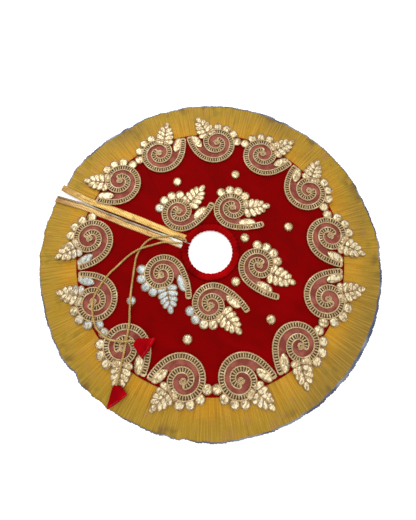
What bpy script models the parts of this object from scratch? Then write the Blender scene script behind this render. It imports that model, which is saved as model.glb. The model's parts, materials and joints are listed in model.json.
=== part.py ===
"""A tree skirt: red velvet with gota appliqué, a pleated gold frill and a drawstring neck.

Metres, +Z up. The skirt lies on the floor round the trunk hole, whose centre is the origin, and
its slit runs along -X. The strip beside the slit on its +Y side folds back over the skirt.
"""

import math

import bmesh
import bpy
from mathutils import Matrix, Vector

# Radii from the centre of the trunk hole.
TRUNK_HOLE_RADIUS = 0.039
NECK_CASING_WIDTH = 0.013
VELVET_EDGE_RADIUS = 0.238
# How far the frill reaches beyond the velvet, and how far out it lies flat.
FRILL_WIDTH = 0.067
FRILL_FLAT_WIDTH = 0.044
FRILL_RADIUS = VELVET_EDGE_RADIUS + FRILL_WIDTH
FRILL_FLAT_RADIUS = VELVET_EDGE_RADIUS + FRILL_FLAT_WIDTH

# The slit, the seams beside it and the gold ribbons that bind it.
SLIT_GAP_AT_NECK = 0.003
SLIT_GAP_AT_RIM = 0.012
CASING_END_GAP = 0.014
RIBBON_THICKNESS = 0.0008
UPPER_RIBBON_WIDTH = 0.0115
LOWER_RIBBON_WIDTH = 0.009
SILVER_STRIP_WIDTH = 0.0045
RIBBON_NECK_SPACE = 0.0012
RIBBON_RIM_SPACE = 0.0024

# The line along which the front strip folds back: it leaves the slit at a distance from the
# trunk hole's centre and meets the rim between the first two outer motifs.
FOLD_START_RADIUS = 0.080
FOLD_CORNER_LENGTH = 0.008
FOLD_RIM_ANGLE = math.radians(147.0)
FOLD_GAP = 0.0006
FOLD_AXIS_CLEARANCE = 0.0009

# Layers, from the floor up.
GAP = 0.0003
LINING_THICKNESS = 0.0008
FRILL_HEADER_THICKNESS = 0.0010
FRILL_HEADER_WIDTH = 0.012
FRILL_HEIGHT = 0.0039
FRILL_RIM_HEIGHT = 0.0055
FRILL_RIM_ROUNDING = 0.0015
FRILL_SEAM_SPACE = 0.0012
LINING_INSET = 0.0015
VELVET_THICKNESS = 0.0018
PATCH_THICKNESS = 0.0008
BRAID_HEIGHT = 0.0020
DISC_HEIGHT = 0.0016
PETAL_HEIGHT = 0.0018

HEADER_BOTTOM = LINING_THICKNESS + GAP
HEADER_TOP = HEADER_BOTTOM + FRILL_HEADER_THICKNESS
VELVET_TOP = HEADER_TOP + GAP + VELVET_THICKNESS
PATCH_BOTTOM = VELVET_TOP + GAP
TRIM_BOTTOM = PATCH_BOTTOM + PATCH_THICKNESS + GAP
TRIM_TOP = TRIM_BOTTOM + BRAID_HEIGHT
FOLD_AXIS_HEIGHT = TRIM_TOP + FOLD_AXIS_CLEARANCE
NECK_RADIUS = TRUNK_HOLE_RADIUS + NECK_CASING_WIDTH

# The drawstring and the casing that holds it.
CORD_DIAMETER = 0.0035
CORD_POINT_SPACING = 0.0088
ROUTE_STEPS = 24
CASING_BORE_CLEARANCE = 0.0006
CASING_WALL = 0.0024
CASING_CORNER = 0.0030
CASING_BORE_WIDTH = 0.0080
CASING_BORE_HEIGHT = CORD_DIAMETER + 2 * CASING_BORE_CLEARANCE
CASING_HEIGHT = CASING_BORE_HEIGHT + 2 * CASING_WALL
DRAWSTRING_RADIUS = TRUNK_HOLE_RADIUS + NECK_CASING_WIDTH / 2

# One motif, in its own frame: the spiral's centre is its origin and +Y points to the rim.
BRAID_WIDTH = 0.0115
# How a braid starts: the angle of its tail's tip, the radius of the spiral's outer edge there,
# and how far and over how many degrees the tail flares out from it.
OUTER_BRAID = {"tail_angle": 7.0, "edge": 0.05155, "flare": 0.0076, "flare_turn": 60.0}
INNER_BRAID = {"tail_angle": 18.0, "edge": 0.04625, "flare": 0.0210, "flare_turn": 75.0}
SPIRAL_RATE = 0.00225
CURL_START = 498.0
CURL_TURN = 178.0
CURL_DEPTH = 0.0058
BRAID_TURN = 610.0
BRAID_STEPS = 22
PATCH_START = 26.0
PATCH_STEPS = 18
DISC_RADIUS = 0.0068
DISC_SIDES = 8
SEWN_OVERLAP = 0.0015
FIRST_DISC_ANGLE = 173.5
DISC_ANGLE_STEP = 26.7
MOTIF_DISCS = 4
CROOK_PETAL_CENTRE = (0.0390, -0.0003)
CROOK_PETAL_LENGTH = 0.029
CROOK_PETAL_WIDTH = 0.0135
CROOK_PETAL_ANGLE = math.radians(48)
CROOK_PETAL_FULLNESS = 0.8
SPRAY_BASE = (0.0165, 0.0165)
SPRAY_ANGLE = math.radians(57)
SPRAY_LENGTH = 0.044
SPRAY_PETALS = ((0.015, 0.014), (0.024, 0.012), (0.033, 0.009))
SPRAY_NOTCH = 0.0045
SPRAY_TIP_WIDTH = 0.002
SPRAY_HALF_BASE = 0.005

# Where the motifs and the loose discs are sewn: radius and angle on the skirt.
OUTER_MOTIF_RADIUS = VELVET_EDGE_RADIUS - 0.021
OUTER_MOTIF_COUNT = 13
FIRST_MOTIF_ANGLE = 164.4
MOTIF_ANGLE_STEP = 27.3
MOTIF_PAIR_SHIFT = 1.3
# Distance from the neck, angle, tilt from the radial direction, and whether it is mirrored.
INNER_MOTIFS = {
    "a": (0.0420, 149.0, -42.0, False),
    "b": (0.0400, 85.1, -22.5, False),
    "c": (0.0375, 5.4, 26.0, False),
    "d": (0.0410, -67.7, 9.0, True),
    "e": (0.0425, -132.3, 43.0, True),
}
LOOSE_DISCS = (
    (0.1485, 136.4),
    (0.1575, 94.0),
    (0.1493, 39.7),
    (0.0672, 44.0),
    (0.0690, -28.6),
    (0.1552, -27.2),
    (0.1538, -82.6),
    (0.1600, -125.8),
)

# Heights of a cord's centre where it lies on each layer.
CORD_RADIUS = CORD_DIAMETER / 2
CORD_IN_CASING = CASING_HEIGHT / 2
ON_VELVET = VELVET_TOP + GAP + CORD_RADIUS
ON_RIBBON = PATCH_BOTTOM + RIBBON_THICKNESS + GAP + CORD_RADIUS
ON_DISC = PATCH_BOTTOM + DISC_HEIGHT + GAP + CORD_RADIUS
ON_TRIM = TRIM_TOP + GAP + CORD_RADIUS
OVER_CORD = CORD_DIAMETER + GAP

# The tassels: a folded square of velvet at the end of each tail.
TASSEL_LENGTH = 0.033
TASSEL_THICKNESS = 0.0065
TASSEL_GAP = 0.0007
TASSEL_BOTTOM = TRIM_TOP + GAP
TASSEL_MIDDLE = TASSEL_BOTTOM + TASSEL_THICKNESS / 2
# Distance from the tip, half width and half thickness, along the tassel.
TASSEL_SECTIONS = (
    (0.0, 0.0016, 0.0010),
    (0.0065, 0.0060, 0.0030),
    (0.0260, 0.0155, TASSEL_THICKNESS / 2),
    (TASSEL_LENGTH, 0.0125, 0.0022),
)
TASSEL_SIDES = 8
# A tassel lifts about a line just past its tip, where the cord is sewn in.
TASSEL_HINGE_INSET = 0.0022
TASSEL_A_ANGLE = math.radians(-66)
TASSEL_B_ANGLE = math.radians(-5)

# The tails' routes over the skirt, from the casing's ends to the tassels.
TAIL_A_ROUTE = (
    (-0.0452, -0.0061, CORD_IN_CASING),
    (-0.0457, -0.0032, 0.0070),
    (-0.0472, 0.0014, 0.0094),
    (-0.0535, 0.0050, 0.0090),
    (-0.0623, 0.0050, ON_RIBBON),
    (-0.0767, 0.0002, ON_RIBBON),
    (-0.0949, -0.0088, ON_RIBBON),
    (-0.1020, -0.0135, ON_RIBBON),
    (-0.1067, -0.0178, ON_RIBBON),
    (-0.1125, -0.0250, ON_VELVET),
    (-0.1170, -0.0385, ON_VELVET),
    (-0.1180, -0.0563, ON_VELVET),
    (-0.1130, -0.0760, ON_VELVET),
    (-0.1060, -0.0990, ON_VELVET + 0.0004),
    (-0.0995, -0.1180, ON_DISC),
    (-0.0945, -0.1300, ON_DISC),
    (-0.0885, -0.1450, ON_TRIM - 0.0004),
    (-0.0803, -0.1633, ON_TRIM),
    (-0.0707, -0.1982, ON_TRIM),
    (-0.0630, -0.2339, ON_TRIM),
    (-0.0575, -0.2573, TASSEL_MIDDLE),
)
TAIL_B_ROUTE = (
    (-0.0452, 0.0061, CORD_IN_CASING),
    (-0.0457, 0.0030, 0.0032),
    (-0.0472, -0.0012, 0.0036),
    (-0.0512, -0.0042, 0.0068),
    (-0.0550, -0.0057, ON_RIBBON + 0.0006),
    (-0.0620, -0.0076, ON_RIBBON + 0.0002),
    (-0.0817, -0.0144, ON_RIBBON),
    (-0.0890, -0.0186, ON_RIBBON),
    (-0.0977, -0.0255, ON_VELVET + 0.0008),
    (-0.1108, -0.0369, ON_VELVET + OVER_CORD),
    (-0.1211, -0.0473, ON_VELVET + OVER_CORD),
    (-0.1327, -0.0638, ON_VELVET + 0.0006),
    (-0.1421, -0.0856, ON_VELVET + 0.0004),
    (-0.1478, -0.1020, ON_TRIM - 0.0004),
    (-0.1532, -0.1263, ON_TRIM),
    (-0.1531, -0.1535, ON_TRIM),
    (-0.1399, -0.1784, ON_TRIM),
    (-0.1233, -0.1933, ON_TRIM),
    (-0.1002, -0.1990, ON_TRIM + 0.0014),
    (-0.0790, -0.1938, ON_TRIM + OVER_CORD),
    (-0.0715, -0.1908, ON_TRIM + OVER_CORD),
    (-0.0664, -0.1878, TASSEL_MIDDLE + 0.0014),
    (-0.0626, -0.1867, TASSEL_MIDDLE + 0.0010),
    (-0.0583, -0.1866, TASSEL_MIDDLE + 0.0010),
)

RING_SEGMENTS = 60
CASING_SEGMENTS = 30
CUTTER_LOW = -0.010
CUTTER_HIGH = 0.030
PAST_RIM = 0.025
PAST_NECK = 0.010
# Round pieces are smooth up to this angle between faces.
SHARP_EDGE = math.radians(35)
RED_VELVET = (0.24, 0.002, 0.004)
BRIGHT_VELVET = (0.42, 0.004, 0.006)
GOLD_TISSUE = (0.58, 0.33, 0.06)
GOTA = (0.62, 0.45, 0.22)


def clear_scene():
    for obj in list(bpy.data.objects):
        bpy.data.objects.remove(obj, do_unlink=True)


def polar(radius, degrees):
    angle = math.radians(degrees)
    return radius * math.cos(angle), radius * math.sin(angle)


def material(name, colour, roughness, metallic):
    made = bpy.data.materials.get(name)
    if made is None:
        made = bpy.data.materials.new(name)
        made.use_nodes = True
        shader = made.node_tree.nodes["Principled BSDF"]
        shader.inputs["Base Color"].default_value = (*colour, 1)
        shader.inputs["Roughness"].default_value = roughness
        shader.inputs["Metallic"].default_value = metallic
    return made


def velvet_material():
    return material("red_velvet", RED_VELVET, 0.9, 0.0)


def casing_material():
    return material("bright_velvet", BRIGHT_VELVET, 0.9, 0.0)


def tissue_material():
    return material("gold_tissue", GOLD_TISSUE, 0.45, 0.4)


def gota_material():
    return material("gota", GOTA, 0.4, 0.5)


def silver_material():
    return material("silver_ribbon", (0.6, 0.6, 0.62), 0.4, 0.6)


def rose_material():
    return material("rose_cloth", (0.26, 0.07, 0.05), 0.8, 0.0)


def lining_material():
    return material("lining_cloth", (0.30, 0.02, 0.02), 0.8, 0.0)


def cord_material():
    return material("gold_cord", (0.46, 0.26, 0.09), 0.5, 0.3)


def mesh_from(name, bm):
    bm.normal_update()
    bmesh.ops.recalc_face_normals(bm, faces=bm.faces)
    mesh = bpy.data.meshes.new(name)
    bm.to_mesh(mesh)
    bm.free()
    return mesh


def link(name, mesh, finish):
    obj = bpy.data.objects.new(name, mesh)
    if not mesh.materials:
        mesh.materials.append(finish)
    if obj.type == "MESH":
        mesh.shade_smooth()
        mesh.set_sharp_from_angle(angle=SHARP_EDGE)
    bpy.context.scene.collection.objects.link(obj)
    return obj


def hinge(name, place, angle, pieces):
    """An empty on a joint's axis, which is its own X axis, with the pieces that turn on it."""
    empty = bpy.data.objects.new(name, None)
    empty.location = place
    empty.rotation_euler = (0, 0, angle)
    bpy.context.scene.collection.objects.link(empty)
    bpy.context.view_layer.update()
    for piece in pieces:
        piece.parent = empty
        piece.matrix_parent_inverse = empty.matrix_world.inverted()


def evaluated_mesh(obj):
    graph = bpy.context.evaluated_depsgraph_get()
    return bpy.data.meshes.new_from_object(obj.evaluated_get(graph), depsgraph=graph)


def combine(name, base, tools, operation):
    """Applies one Boolean after another to a mesh, and returns the new mesh."""
    for tool in tools:
        first = bpy.data.objects.new(name + "_base", base)
        second = bpy.data.objects.new(name + "_tool", tool)
        for obj in (first, second):
            bpy.context.scene.collection.objects.link(obj)
        modifier = first.modifiers.new("Boolean", "BOOLEAN")
        modifier.operation = operation
        modifier.object = second
        base = evaluated_mesh(first)
        for obj in (first, second):
            bpy.data.objects.remove(obj, do_unlink=True)
    return base


def prism(name, outline, low, high):
    """A flat plate with the given outline, between two heights."""
    bm = bmesh.new()
    base = bm.faces.new([bm.verts.new((x, y, low)) for x, y in outline])
    raised = bmesh.ops.extrude_face_region(bm, geom=[base])["geom"]
    moved = [item for item in raised if isinstance(item, bmesh.types.BMVert)]
    bmesh.ops.translate(bm, verts=moved, vec=(0, 0, high - low))
    return mesh_from(name, bm)


def full_ring(name, profile):
    """Turns a closed profile of (radius, height) points once round the trunk hole."""
    bm = bmesh.new()
    points = [bm.verts.new((radius, 0, height)) for radius, height in profile]
    edges = [bm.edges.new((a, b)) for a, b in zip(points, points[1:] + points[:1])]
    bmesh.ops.spin(
        bm,
        geom=points + edges,
        cent=(0, 0, 0),
        axis=(0, 0, 1),
        angle=math.tau,
        steps=RING_SEGMENTS,
        use_merge=True,
    )
    return mesh_from(name, bm)


def slit_half_gap(radius):
    """Half the width of the slit, at a distance from the trunk hole's centre."""
    share = (radius - NECK_RADIUS) / (FRILL_RADIUS - NECK_RADIUS)
    return (SLIT_GAP_AT_NECK + share * (SLIT_GAP_AT_RIM - SLIT_GAP_AT_NECK)) / 2


def fold_line():
    """The fold's first point, its unit direction, and the unit normal towards the main part."""
    start = Vector((-FOLD_START_RADIUS, slit_half_gap(FOLD_START_RADIUS)))
    rim = Vector((math.cos(FOLD_RIM_ANGLE), math.sin(FOLD_RIM_ANGLE))) * FRILL_RADIUS
    along = (rim - start).normalized()
    return start, along, Vector((along.y, -along.x))


def fold_region(name, gap, slit_side):
    """The plate-shaped region of the front strip, drawn back from the fold by a gap."""
    start, along, normal = fold_line()
    start = start - normal * gap
    outer = FRILL_RADIUS + PAST_RIM
    corner_radius = FOLD_START_RADIUS + FOLD_CORNER_LENGTH + gap
    corner = start - along * ((corner_radius + start.x) / along.x)
    far = start + along * (outer + PAST_RIM - FOLD_START_RADIUS)
    beyond = min(far.x, -outer) - PAST_RIM
    slit = slit_half_gap(outer + PAST_RIM)
    outline = [
        (-corner_radius, slit_half_gap(corner_radius)),
        (corner.x, corner.y),
        (far.x, far.y),
        (beyond, far.y),
        (beyond, -slit if slit_side else slit),
    ]
    if slit_side:
        inner = NECK_RADIUS - PAST_NECK
        outline.append((-inner, -slit_half_gap(inner)))
        outline.append((-inner, slit_half_gap(inner)))
    return prism(name, outline, CUTTER_LOW, CUTTER_HIGH)


def split_at_fold(name, mesh):
    """The part of a layer that stays and the part that folds back."""
    stays = fold_region(name + "_slit", 0.0, True)
    folds = fold_region(name + "_front", FOLD_GAP, False)
    copy = mesh.copy()
    main = combine(name + "_main", mesh, [stays], "DIFFERENCE")
    front = combine(name + "_flap", copy, [folds], "INTERSECT")
    return main, front


def add_layer(name, profile, finish):
    main, front = split_at_fold(name, full_ring(name, profile))
    link(name + "_main", main, finish)
    link(name + "_flap", front, finish)


def add_lining():
    inner = NECK_RADIUS + GAP
    outer = VELVET_EDGE_RADIUS - LINING_INSET
    top = LINING_THICKNESS
    add_layer("lining", [(inner, 0), (outer, 0), (outer, top), (inner, top)], lining_material())


def add_velvet():
    """The velvet lies on the lining, and steps up over the frill's gathered header."""
    inner = NECK_RADIUS + GAP
    step = VELVET_EDGE_RADIUS - FRILL_HEADER_WIDTH - GAP
    profile = [
        (inner, HEADER_BOTTOM),
        (step, HEADER_BOTTOM),
        (step, HEADER_TOP + GAP),
        (VELVET_EDGE_RADIUS, HEADER_TOP + GAP),
        (VELVET_EDGE_RADIUS, VELVET_TOP),
        (inner, VELVET_TOP),
    ]
    add_layer("velvet", profile, velvet_material())


def add_frill():
    """The header is sewn in under the velvet, and the pleats lie on the floor beyond it."""
    seam = VELVET_EDGE_RADIUS
    rounding = FRILL_RIM_ROUNDING
    profile = [
        (seam - FRILL_HEADER_WIDTH, HEADER_BOTTOM),
        (seam - GAP, HEADER_BOTTOM),
        (seam + FRILL_SEAM_SPACE, 0),
        (FRILL_RADIUS - rounding, 0),
        (FRILL_RADIUS, rounding),
        (FRILL_RADIUS, FRILL_RIM_HEIGHT - rounding),
        (FRILL_RADIUS - rounding, FRILL_RIM_HEIGHT),
        (FRILL_FLAT_RADIUS, FRILL_HEIGHT),
        (seam + FRILL_SEAM_SPACE, FRILL_HEIGHT),
        (seam + GAP, HEADER_TOP),
        (seam - FRILL_HEADER_WIDTH, HEADER_TOP),
    ]
    add_layer("frill", profile, tissue_material())


def ribbon_strip(name, inset, width, side):
    """A ribbon laid along the slit on one side of it, at a distance from its edge."""
    low = PATCH_BOTTOM
    rise = FRILL_RIM_HEIGHT + GAP - low
    inner = NECK_RADIUS + RIBBON_NECK_SPACE
    outer = FRILL_RADIUS - RIBBON_RIM_SPACE
    side_view = [(-inner, low), (-FRILL_FLAT_RADIUS, low), (-outer, low + rise)]
    side_view += [(x, z + RIBBON_THICKNESS) for x, z in reversed(side_view)]
    bm = bmesh.new()
    base = bm.faces.new([bm.verts.new((x, 0, z)) for x, z in side_view])
    raised = bmesh.ops.extrude_face_region(bm, geom=[base])["geom"]
    moved = [item for item in raised if isinstance(item, bmesh.types.BMVert)]
    bmesh.ops.translate(bm, verts=moved, vec=(0, width, 0))
    for vert in bm.verts:
        vert.co.y = side * (vert.co.y + inset + slit_half_gap(-vert.co.x))
    return mesh_from(name, bm)


def add_ribbons():
    gold = gota_material()
    upper = ribbon_strip("slit_ribbon_upper", GAP, UPPER_RIBBON_WIDTH, 1)
    neck, front = split_at_fold("slit_ribbon_upper", upper)
    link("slit_ribbon_upper_neck", neck, gold)
    link("slit_ribbon_upper", front, gold)
    silver = ribbon_strip("slit_strip_silver", GAP, SILVER_STRIP_WIDTH, -1)
    link("slit_strip_silver", silver, silver_material())
    beyond_silver = 2 * GAP + SILVER_STRIP_WIDTH
    lower = ribbon_strip("slit_ribbon_lower", beyond_silver, LOWER_RIBBON_WIDTH, -1)
    link("slit_ribbon_lower", lower, gold)


def add_neck_casing():
    """A gathered tube of velvet round the trunk hole, open at both ends for the drawstring."""
    half_angle = math.asin(CASING_END_GAP / 2 / DRAWSTRING_RADIUS)
    corner = CASING_CORNER
    high = CASING_HEIGHT
    inner, outer = TRUNK_HOLE_RADIUS, NECK_RADIUS
    shell = [
        (inner, corner),
        (inner + corner, 0),
        (outer - corner, 0),
        (outer, corner),
        (outer, high - corner),
        (outer - corner, high),
        (inner + corner, high),
        (inner, high - corner),
    ]
    middle = DRAWSTRING_RADIUS
    bore = [
        (middle - CASING_BORE_WIDTH / 2, CASING_WALL),
        (middle + CASING_BORE_WIDTH / 2, CASING_WALL),
        (middle + CASING_BORE_WIDTH / 2, high - CASING_WALL),
        (middle - CASING_BORE_WIDTH / 2, high - CASING_WALL),
    ]
    bm = bmesh.new()
    start = Matrix.Rotation(math.pi + half_angle, 4, "Z")
    loops = []
    for profile in (shell, bore):
        points = [bm.verts.new(start @ Vector((r, 0, z))) for r, z in profile]
        loops += [bm.edges.new((a, b)) for a, b in zip(points, points[1:] + points[:1])]
    first_cap = bmesh.ops.triangle_fill(bm, edges=loops, use_beauty=True)["geom"]
    cap_faces = [item for item in first_cap if isinstance(item, bmesh.types.BMFace)]
    bmesh.ops.spin(
        bm,
        geom=cap_faces,
        cent=(0, 0, 0),
        axis=(0, 0, 1),
        angle=math.tau - 2 * half_angle,
        steps=CASING_SEGMENTS,
    )
    link("neck_casing", mesh_from("neck_casing", bm), casing_material())


def smooth_route(route):
    """Evenly spaced points on a smooth curve through the route's own points."""
    points = [Vector(point) for point in route]
    points = [2 * points[0] - points[1]] + points + [2 * points[-1] - points[-2]]
    fine = []
    for before, start, end, after in zip(points, points[1:], points[2:], points[3:]):
        for step in range(ROUTE_STEPS):
            t = step / ROUTE_STEPS
            linear = (end - before) * t
            square = (2 * before - 5 * start + 4 * end - after) * t**2
            cube = (3 * start - 3 * end + after - before) * t**3
            fine.append(start + (linear + square + cube) / 2)
    fine.append(points[-2])
    lengths = [0.0]
    for first, second in zip(fine, fine[1:]):
        lengths.append(lengths[-1] + (second - first).length)
    count = round(lengths[-1] / CORD_POINT_SPACING)
    even = []
    at = 0
    for number in range(count + 1):
        wanted = lengths[-1] * number / count
        while at < len(fine) - 2 and lengths[at + 1] < wanted:
            at += 1
        share = (wanted - lengths[at]) / (lengths[at + 1] - lengths[at])
        even.append(fine[at].lerp(fine[at + 1], share))
    return even


def add_cord(name, points):
    curve = bpy.data.curves.new(name, "CURVE")
    curve.dimensions = "3D"
    curve.bevel_depth = CORD_RADIUS
    curve.bevel_resolution = 2
    curve.use_fill_caps = True
    spline = curve.splines.new("POLY")
    spline.points.add(len(points) - 1)
    for target, point in zip(spline.points, points):
        target.co = (*point, 1)
    return link(name, curve, cord_material())


def add_drawstring():
    """One cord: a length inside the casing, and the two tails that come out of its ends."""
    half_angle = math.asin(CASING_END_GAP / 2 / DRAWSTRING_RADIUS)
    steps = round(math.tau * DRAWSTRING_RADIUS / CORD_POINT_SPACING)
    inside = []
    for number in range(steps + 1):
        angle = math.pi + half_angle + (math.tau - 2 * half_angle) * number / steps
        x, y = DRAWSTRING_RADIUS * math.cos(angle), DRAWSTRING_RADIUS * math.sin(angle)
        inside.append(Vector((x, y, CORD_IN_CASING)))
    add_cord("drawstring_in_casing", inside)
    add_cord("drawstring_tail_a", smooth_route(TAIL_A_ROUTE))
    add_cord("drawstring_tail_b", smooth_route(TAIL_B_ROUTE))


def add_tassel(name, route, angle):
    """A folded square of velvet, drawn together where the cord is sewn into it."""
    bm = bmesh.new()
    rings = []
    for distance, half_width, half_height in TASSEL_SECTIONS:
        ring = []
        for side in range(TASSEL_SIDES):
            turn = math.tau * (side + 0.5) / TASSEL_SIDES
            reach = 1 / math.cos(math.pi / TASSEL_SIDES)
            y = half_width * math.cos(turn) * reach
            z = half_height * math.sin(turn) * reach
            ring.append(bm.verts.new((distance, y, z)))
        rings.append([bm.edges.new((a, b)) for a, b in zip(ring, ring[1:] + ring[:1])])
    for first, second in zip(rings, rings[1:]):
        bmesh.ops.bridge_loops(bm, edges=first + second)
    bmesh.ops.holes_fill(bm, edges=bm.edges, sides=TASSEL_SIDES)
    tassel = link(name, mesh_from(name, bm), casing_material())
    end = Vector(route[-1])
    away = Vector((math.cos(angle), math.sin(angle), 0))
    tassel.location = end + away * TASSEL_GAP
    tassel.rotation_euler = (0, 0, angle)
    hinge_place = tassel.location + away * TASSEL_HINGE_INSET
    hinge(name + "_hinge", hinge_place, angle - math.pi / 2, [tassel])


def braid_radius(shape, turn):
    """The braid's middle line: a spiral that flares into a tail and curls in at its centre."""
    radius = (shape["edge"] - BRAID_WIDTH / 2) * math.exp(-SPIRAL_RATE * turn)
    radius += shape["flare"] * max(0.0, 1 - turn / shape["flare_turn"]) ** 3
    return radius - CURL_DEPTH * max(0.0, turn - CURL_START) / CURL_TURN


def braid_point(shape, turn, offset=0.0):
    """A point on the braid, offset to its outer side."""
    here = Vector(polar(braid_radius(shape, turn), shape["tail_angle"] - turn))
    ahead = Vector(polar(braid_radius(shape, turn + 1), shape["tail_angle"] - turn - 1))
    along = (ahead - here).normalized()
    return here + Vector((-along.y, along.x)) * offset


def braid_mesh(shape):
    bm = bmesh.new()
    rows = []
    for step in range(BRAID_STEPS + 1):
        turn = BRAID_TURN * step / BRAID_STEPS
        row = []
        for offset in (BRAID_WIDTH / 2, -BRAID_WIDTH / 2):
            point = braid_point(shape, turn, offset)
            row.append(bm.verts.new((point.x, point.y, TRIM_BOTTOM)))
        rows.append(row)
    faces = [bm.faces.new((a, b, d, c)) for (a, b), (c, d) in zip(rows, rows[1:])]
    raised = bmesh.ops.extrude_face_region(bm, geom=faces)["geom"]
    moved = [item for item in raised if isinstance(item, bmesh.types.BMVert)]
    bmesh.ops.translate(bm, verts=moved, vec=(0, 0, BRAID_HEIGHT))
    return mesh_from("braid", bm)


def disc_mesh(name, centre, low):
    outline = []
    for side in range(DISC_SIDES):
        x, y = polar(DISC_RADIUS, 360 * (side + 0.5) / DISC_SIDES)
        outline.append((centre[0] + x, centre[1] + y))
    return prism(name, outline, low, low + DISC_HEIGHT)


def crook_petal_mesh():
    outline = []
    turn = Matrix.Rotation(CROOK_PETAL_ANGLE, 2)
    for side in range(8):
        angle = math.tau * side / 8
        bulge = math.copysign(abs(math.sin(angle)) ** CROOK_PETAL_FULLNESS, math.sin(angle))
        point = Vector((CROOK_PETAL_LENGTH * math.cos(angle), CROOK_PETAL_WIDTH * bulge)) / 2
        outline.append(turn @ point + Vector(CROOK_PETAL_CENTRE))
    return prism("crook_petal", outline, TRIM_BOTTOM, TRIM_BOTTOM + PETAL_HEIGHT)


def spray_mesh():
    """The leafy spray as one plate: petal tips on both sides of a stem, and one at its end."""
    left = [(0.0, SPRAY_HALF_BASE)]
    for along, reach in SPRAY_PETALS:
        left.append((along, reach))
        left.append((along + SPRAY_TIP_WIDTH, SPRAY_NOTCH))
    right = [(along, -across) for along, across in reversed(left)]
    turn = Matrix.Rotation(SPRAY_ANGLE, 2)
    tip = [(SPRAY_LENGTH, 0.0)]
    outline = [turn @ Vector(point) + Vector(SPRAY_BASE) for point in left + tip + right]
    return prism("spray", outline, TRIM_BOTTOM, TRIM_BOTTOM + PETAL_HEIGHT)


def gota_mesh(shape):
    """Braid, discs, spray and petal of one motif, joined as they are when sewn down."""
    tools = []
    for number in range(MOTIF_DISCS):
        angle = FIRST_DISC_ANGLE - DISC_ANGLE_STEP * number
        outer_edge = braid_radius(shape, shape["tail_angle"] - angle + 360) + BRAID_WIDTH / 2
        centre = polar(outer_edge + DISC_RADIUS - SEWN_OVERLAP, angle)
        tools.append(disc_mesh("disc", centre, TRIM_BOTTOM))
    tools += [spray_mesh(), crook_petal_mesh()]
    return combine("gota", braid_mesh(shape), tools, "UNION")


def patch_mesh(shape):
    """The rose cloth under a motif, cut along the middle of the braid's outer turn."""
    outline = []
    for step in range(PATCH_STEPS + 1):
        outline.append(braid_point(shape, PATCH_START + 360 * step / PATCH_STEPS))
    return prism("patch", outline, PATCH_BOTTOM, PATCH_BOTTOM + PATCH_THICKNESS)


def add_motif(name, meshes, place):
    radius, angle, tilt, mirrored = place
    for piece, mesh, finish in zip(("patch", "gota"), meshes, (rose_material(), gota_material())):
        obj = link(f"{name}_{piece}", mesh, finish)
        obj.location = (*polar(radius, angle), 0)
        obj.rotation_euler = (0, 0, math.radians(angle + tilt - 90))
        obj.scale = (-1 if mirrored else 1, 1, 1)


def add_motifs():
    outer = (patch_mesh(OUTER_BRAID), gota_mesh(OUTER_BRAID))
    for number in range(1, OUTER_MOTIF_COUNT + 1):
        mirrored = number % 2 == 1
        shift = -MOTIF_PAIR_SHIFT if mirrored else MOTIF_PAIR_SHIFT
        angle = FIRST_MOTIF_ANGLE - MOTIF_ANGLE_STEP * (number - 1) + shift
        add_motif(f"outer_motif_{number:02d}", outer, (OUTER_MOTIF_RADIUS, angle, 0.0, mirrored))
    inner = (patch_mesh(INNER_BRAID), gota_mesh(INNER_BRAID))
    for letter, (distance, angle, tilt, mirrored) in INNER_MOTIFS.items():
        place = (NECK_RADIUS + distance, angle, tilt, mirrored)
        add_motif(f"inner_motif_{letter}", inner, place)


def add_loose_discs():
    mesh = disc_mesh("loose_disc", (0, 0), PATCH_BOTTOM)
    for number, (radius, angle) in enumerate(LOOSE_DISCS, 1):
        disc = link(f"loose_disc_{number}", mesh, gota_material())
        disc.location = (*polar(radius, angle), 0)
        disc.rotation_euler = (0, 0, math.radians(angle))


def hinge_front_strip():
    """The pieces that fold back with the strip beside the slit turn about the fold line."""
    start, along, _ = fold_line()
    turning = ["velvet_flap", "lining_flap", "frill_flap", "slit_ribbon_upper"]
    turning += ["outer_motif_01_patch", "outer_motif_01_gota"]
    place = (start.x, start.y, FOLD_AXIS_HEIGHT)
    pieces = [bpy.data.objects[name] for name in turning]
    hinge("front_strip_hinge", place, math.atan2(along.y, along.x), pieces)


clear_scene()
add_lining()
add_velvet()
add_frill()
add_ribbons()
add_neck_casing()
add_drawstring()
add_tassel("tassel_a", TAIL_A_ROUTE, TASSEL_A_ANGLE)
add_tassel("tassel_b", TAIL_B_ROUTE, TASSEL_B_ANGLE)
add_motifs()
add_loose_discs()
hinge_front_strip()
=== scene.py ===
import json
import math

import bmesh
import bpy
from mathutils import Matrix, Vector, noise

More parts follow.
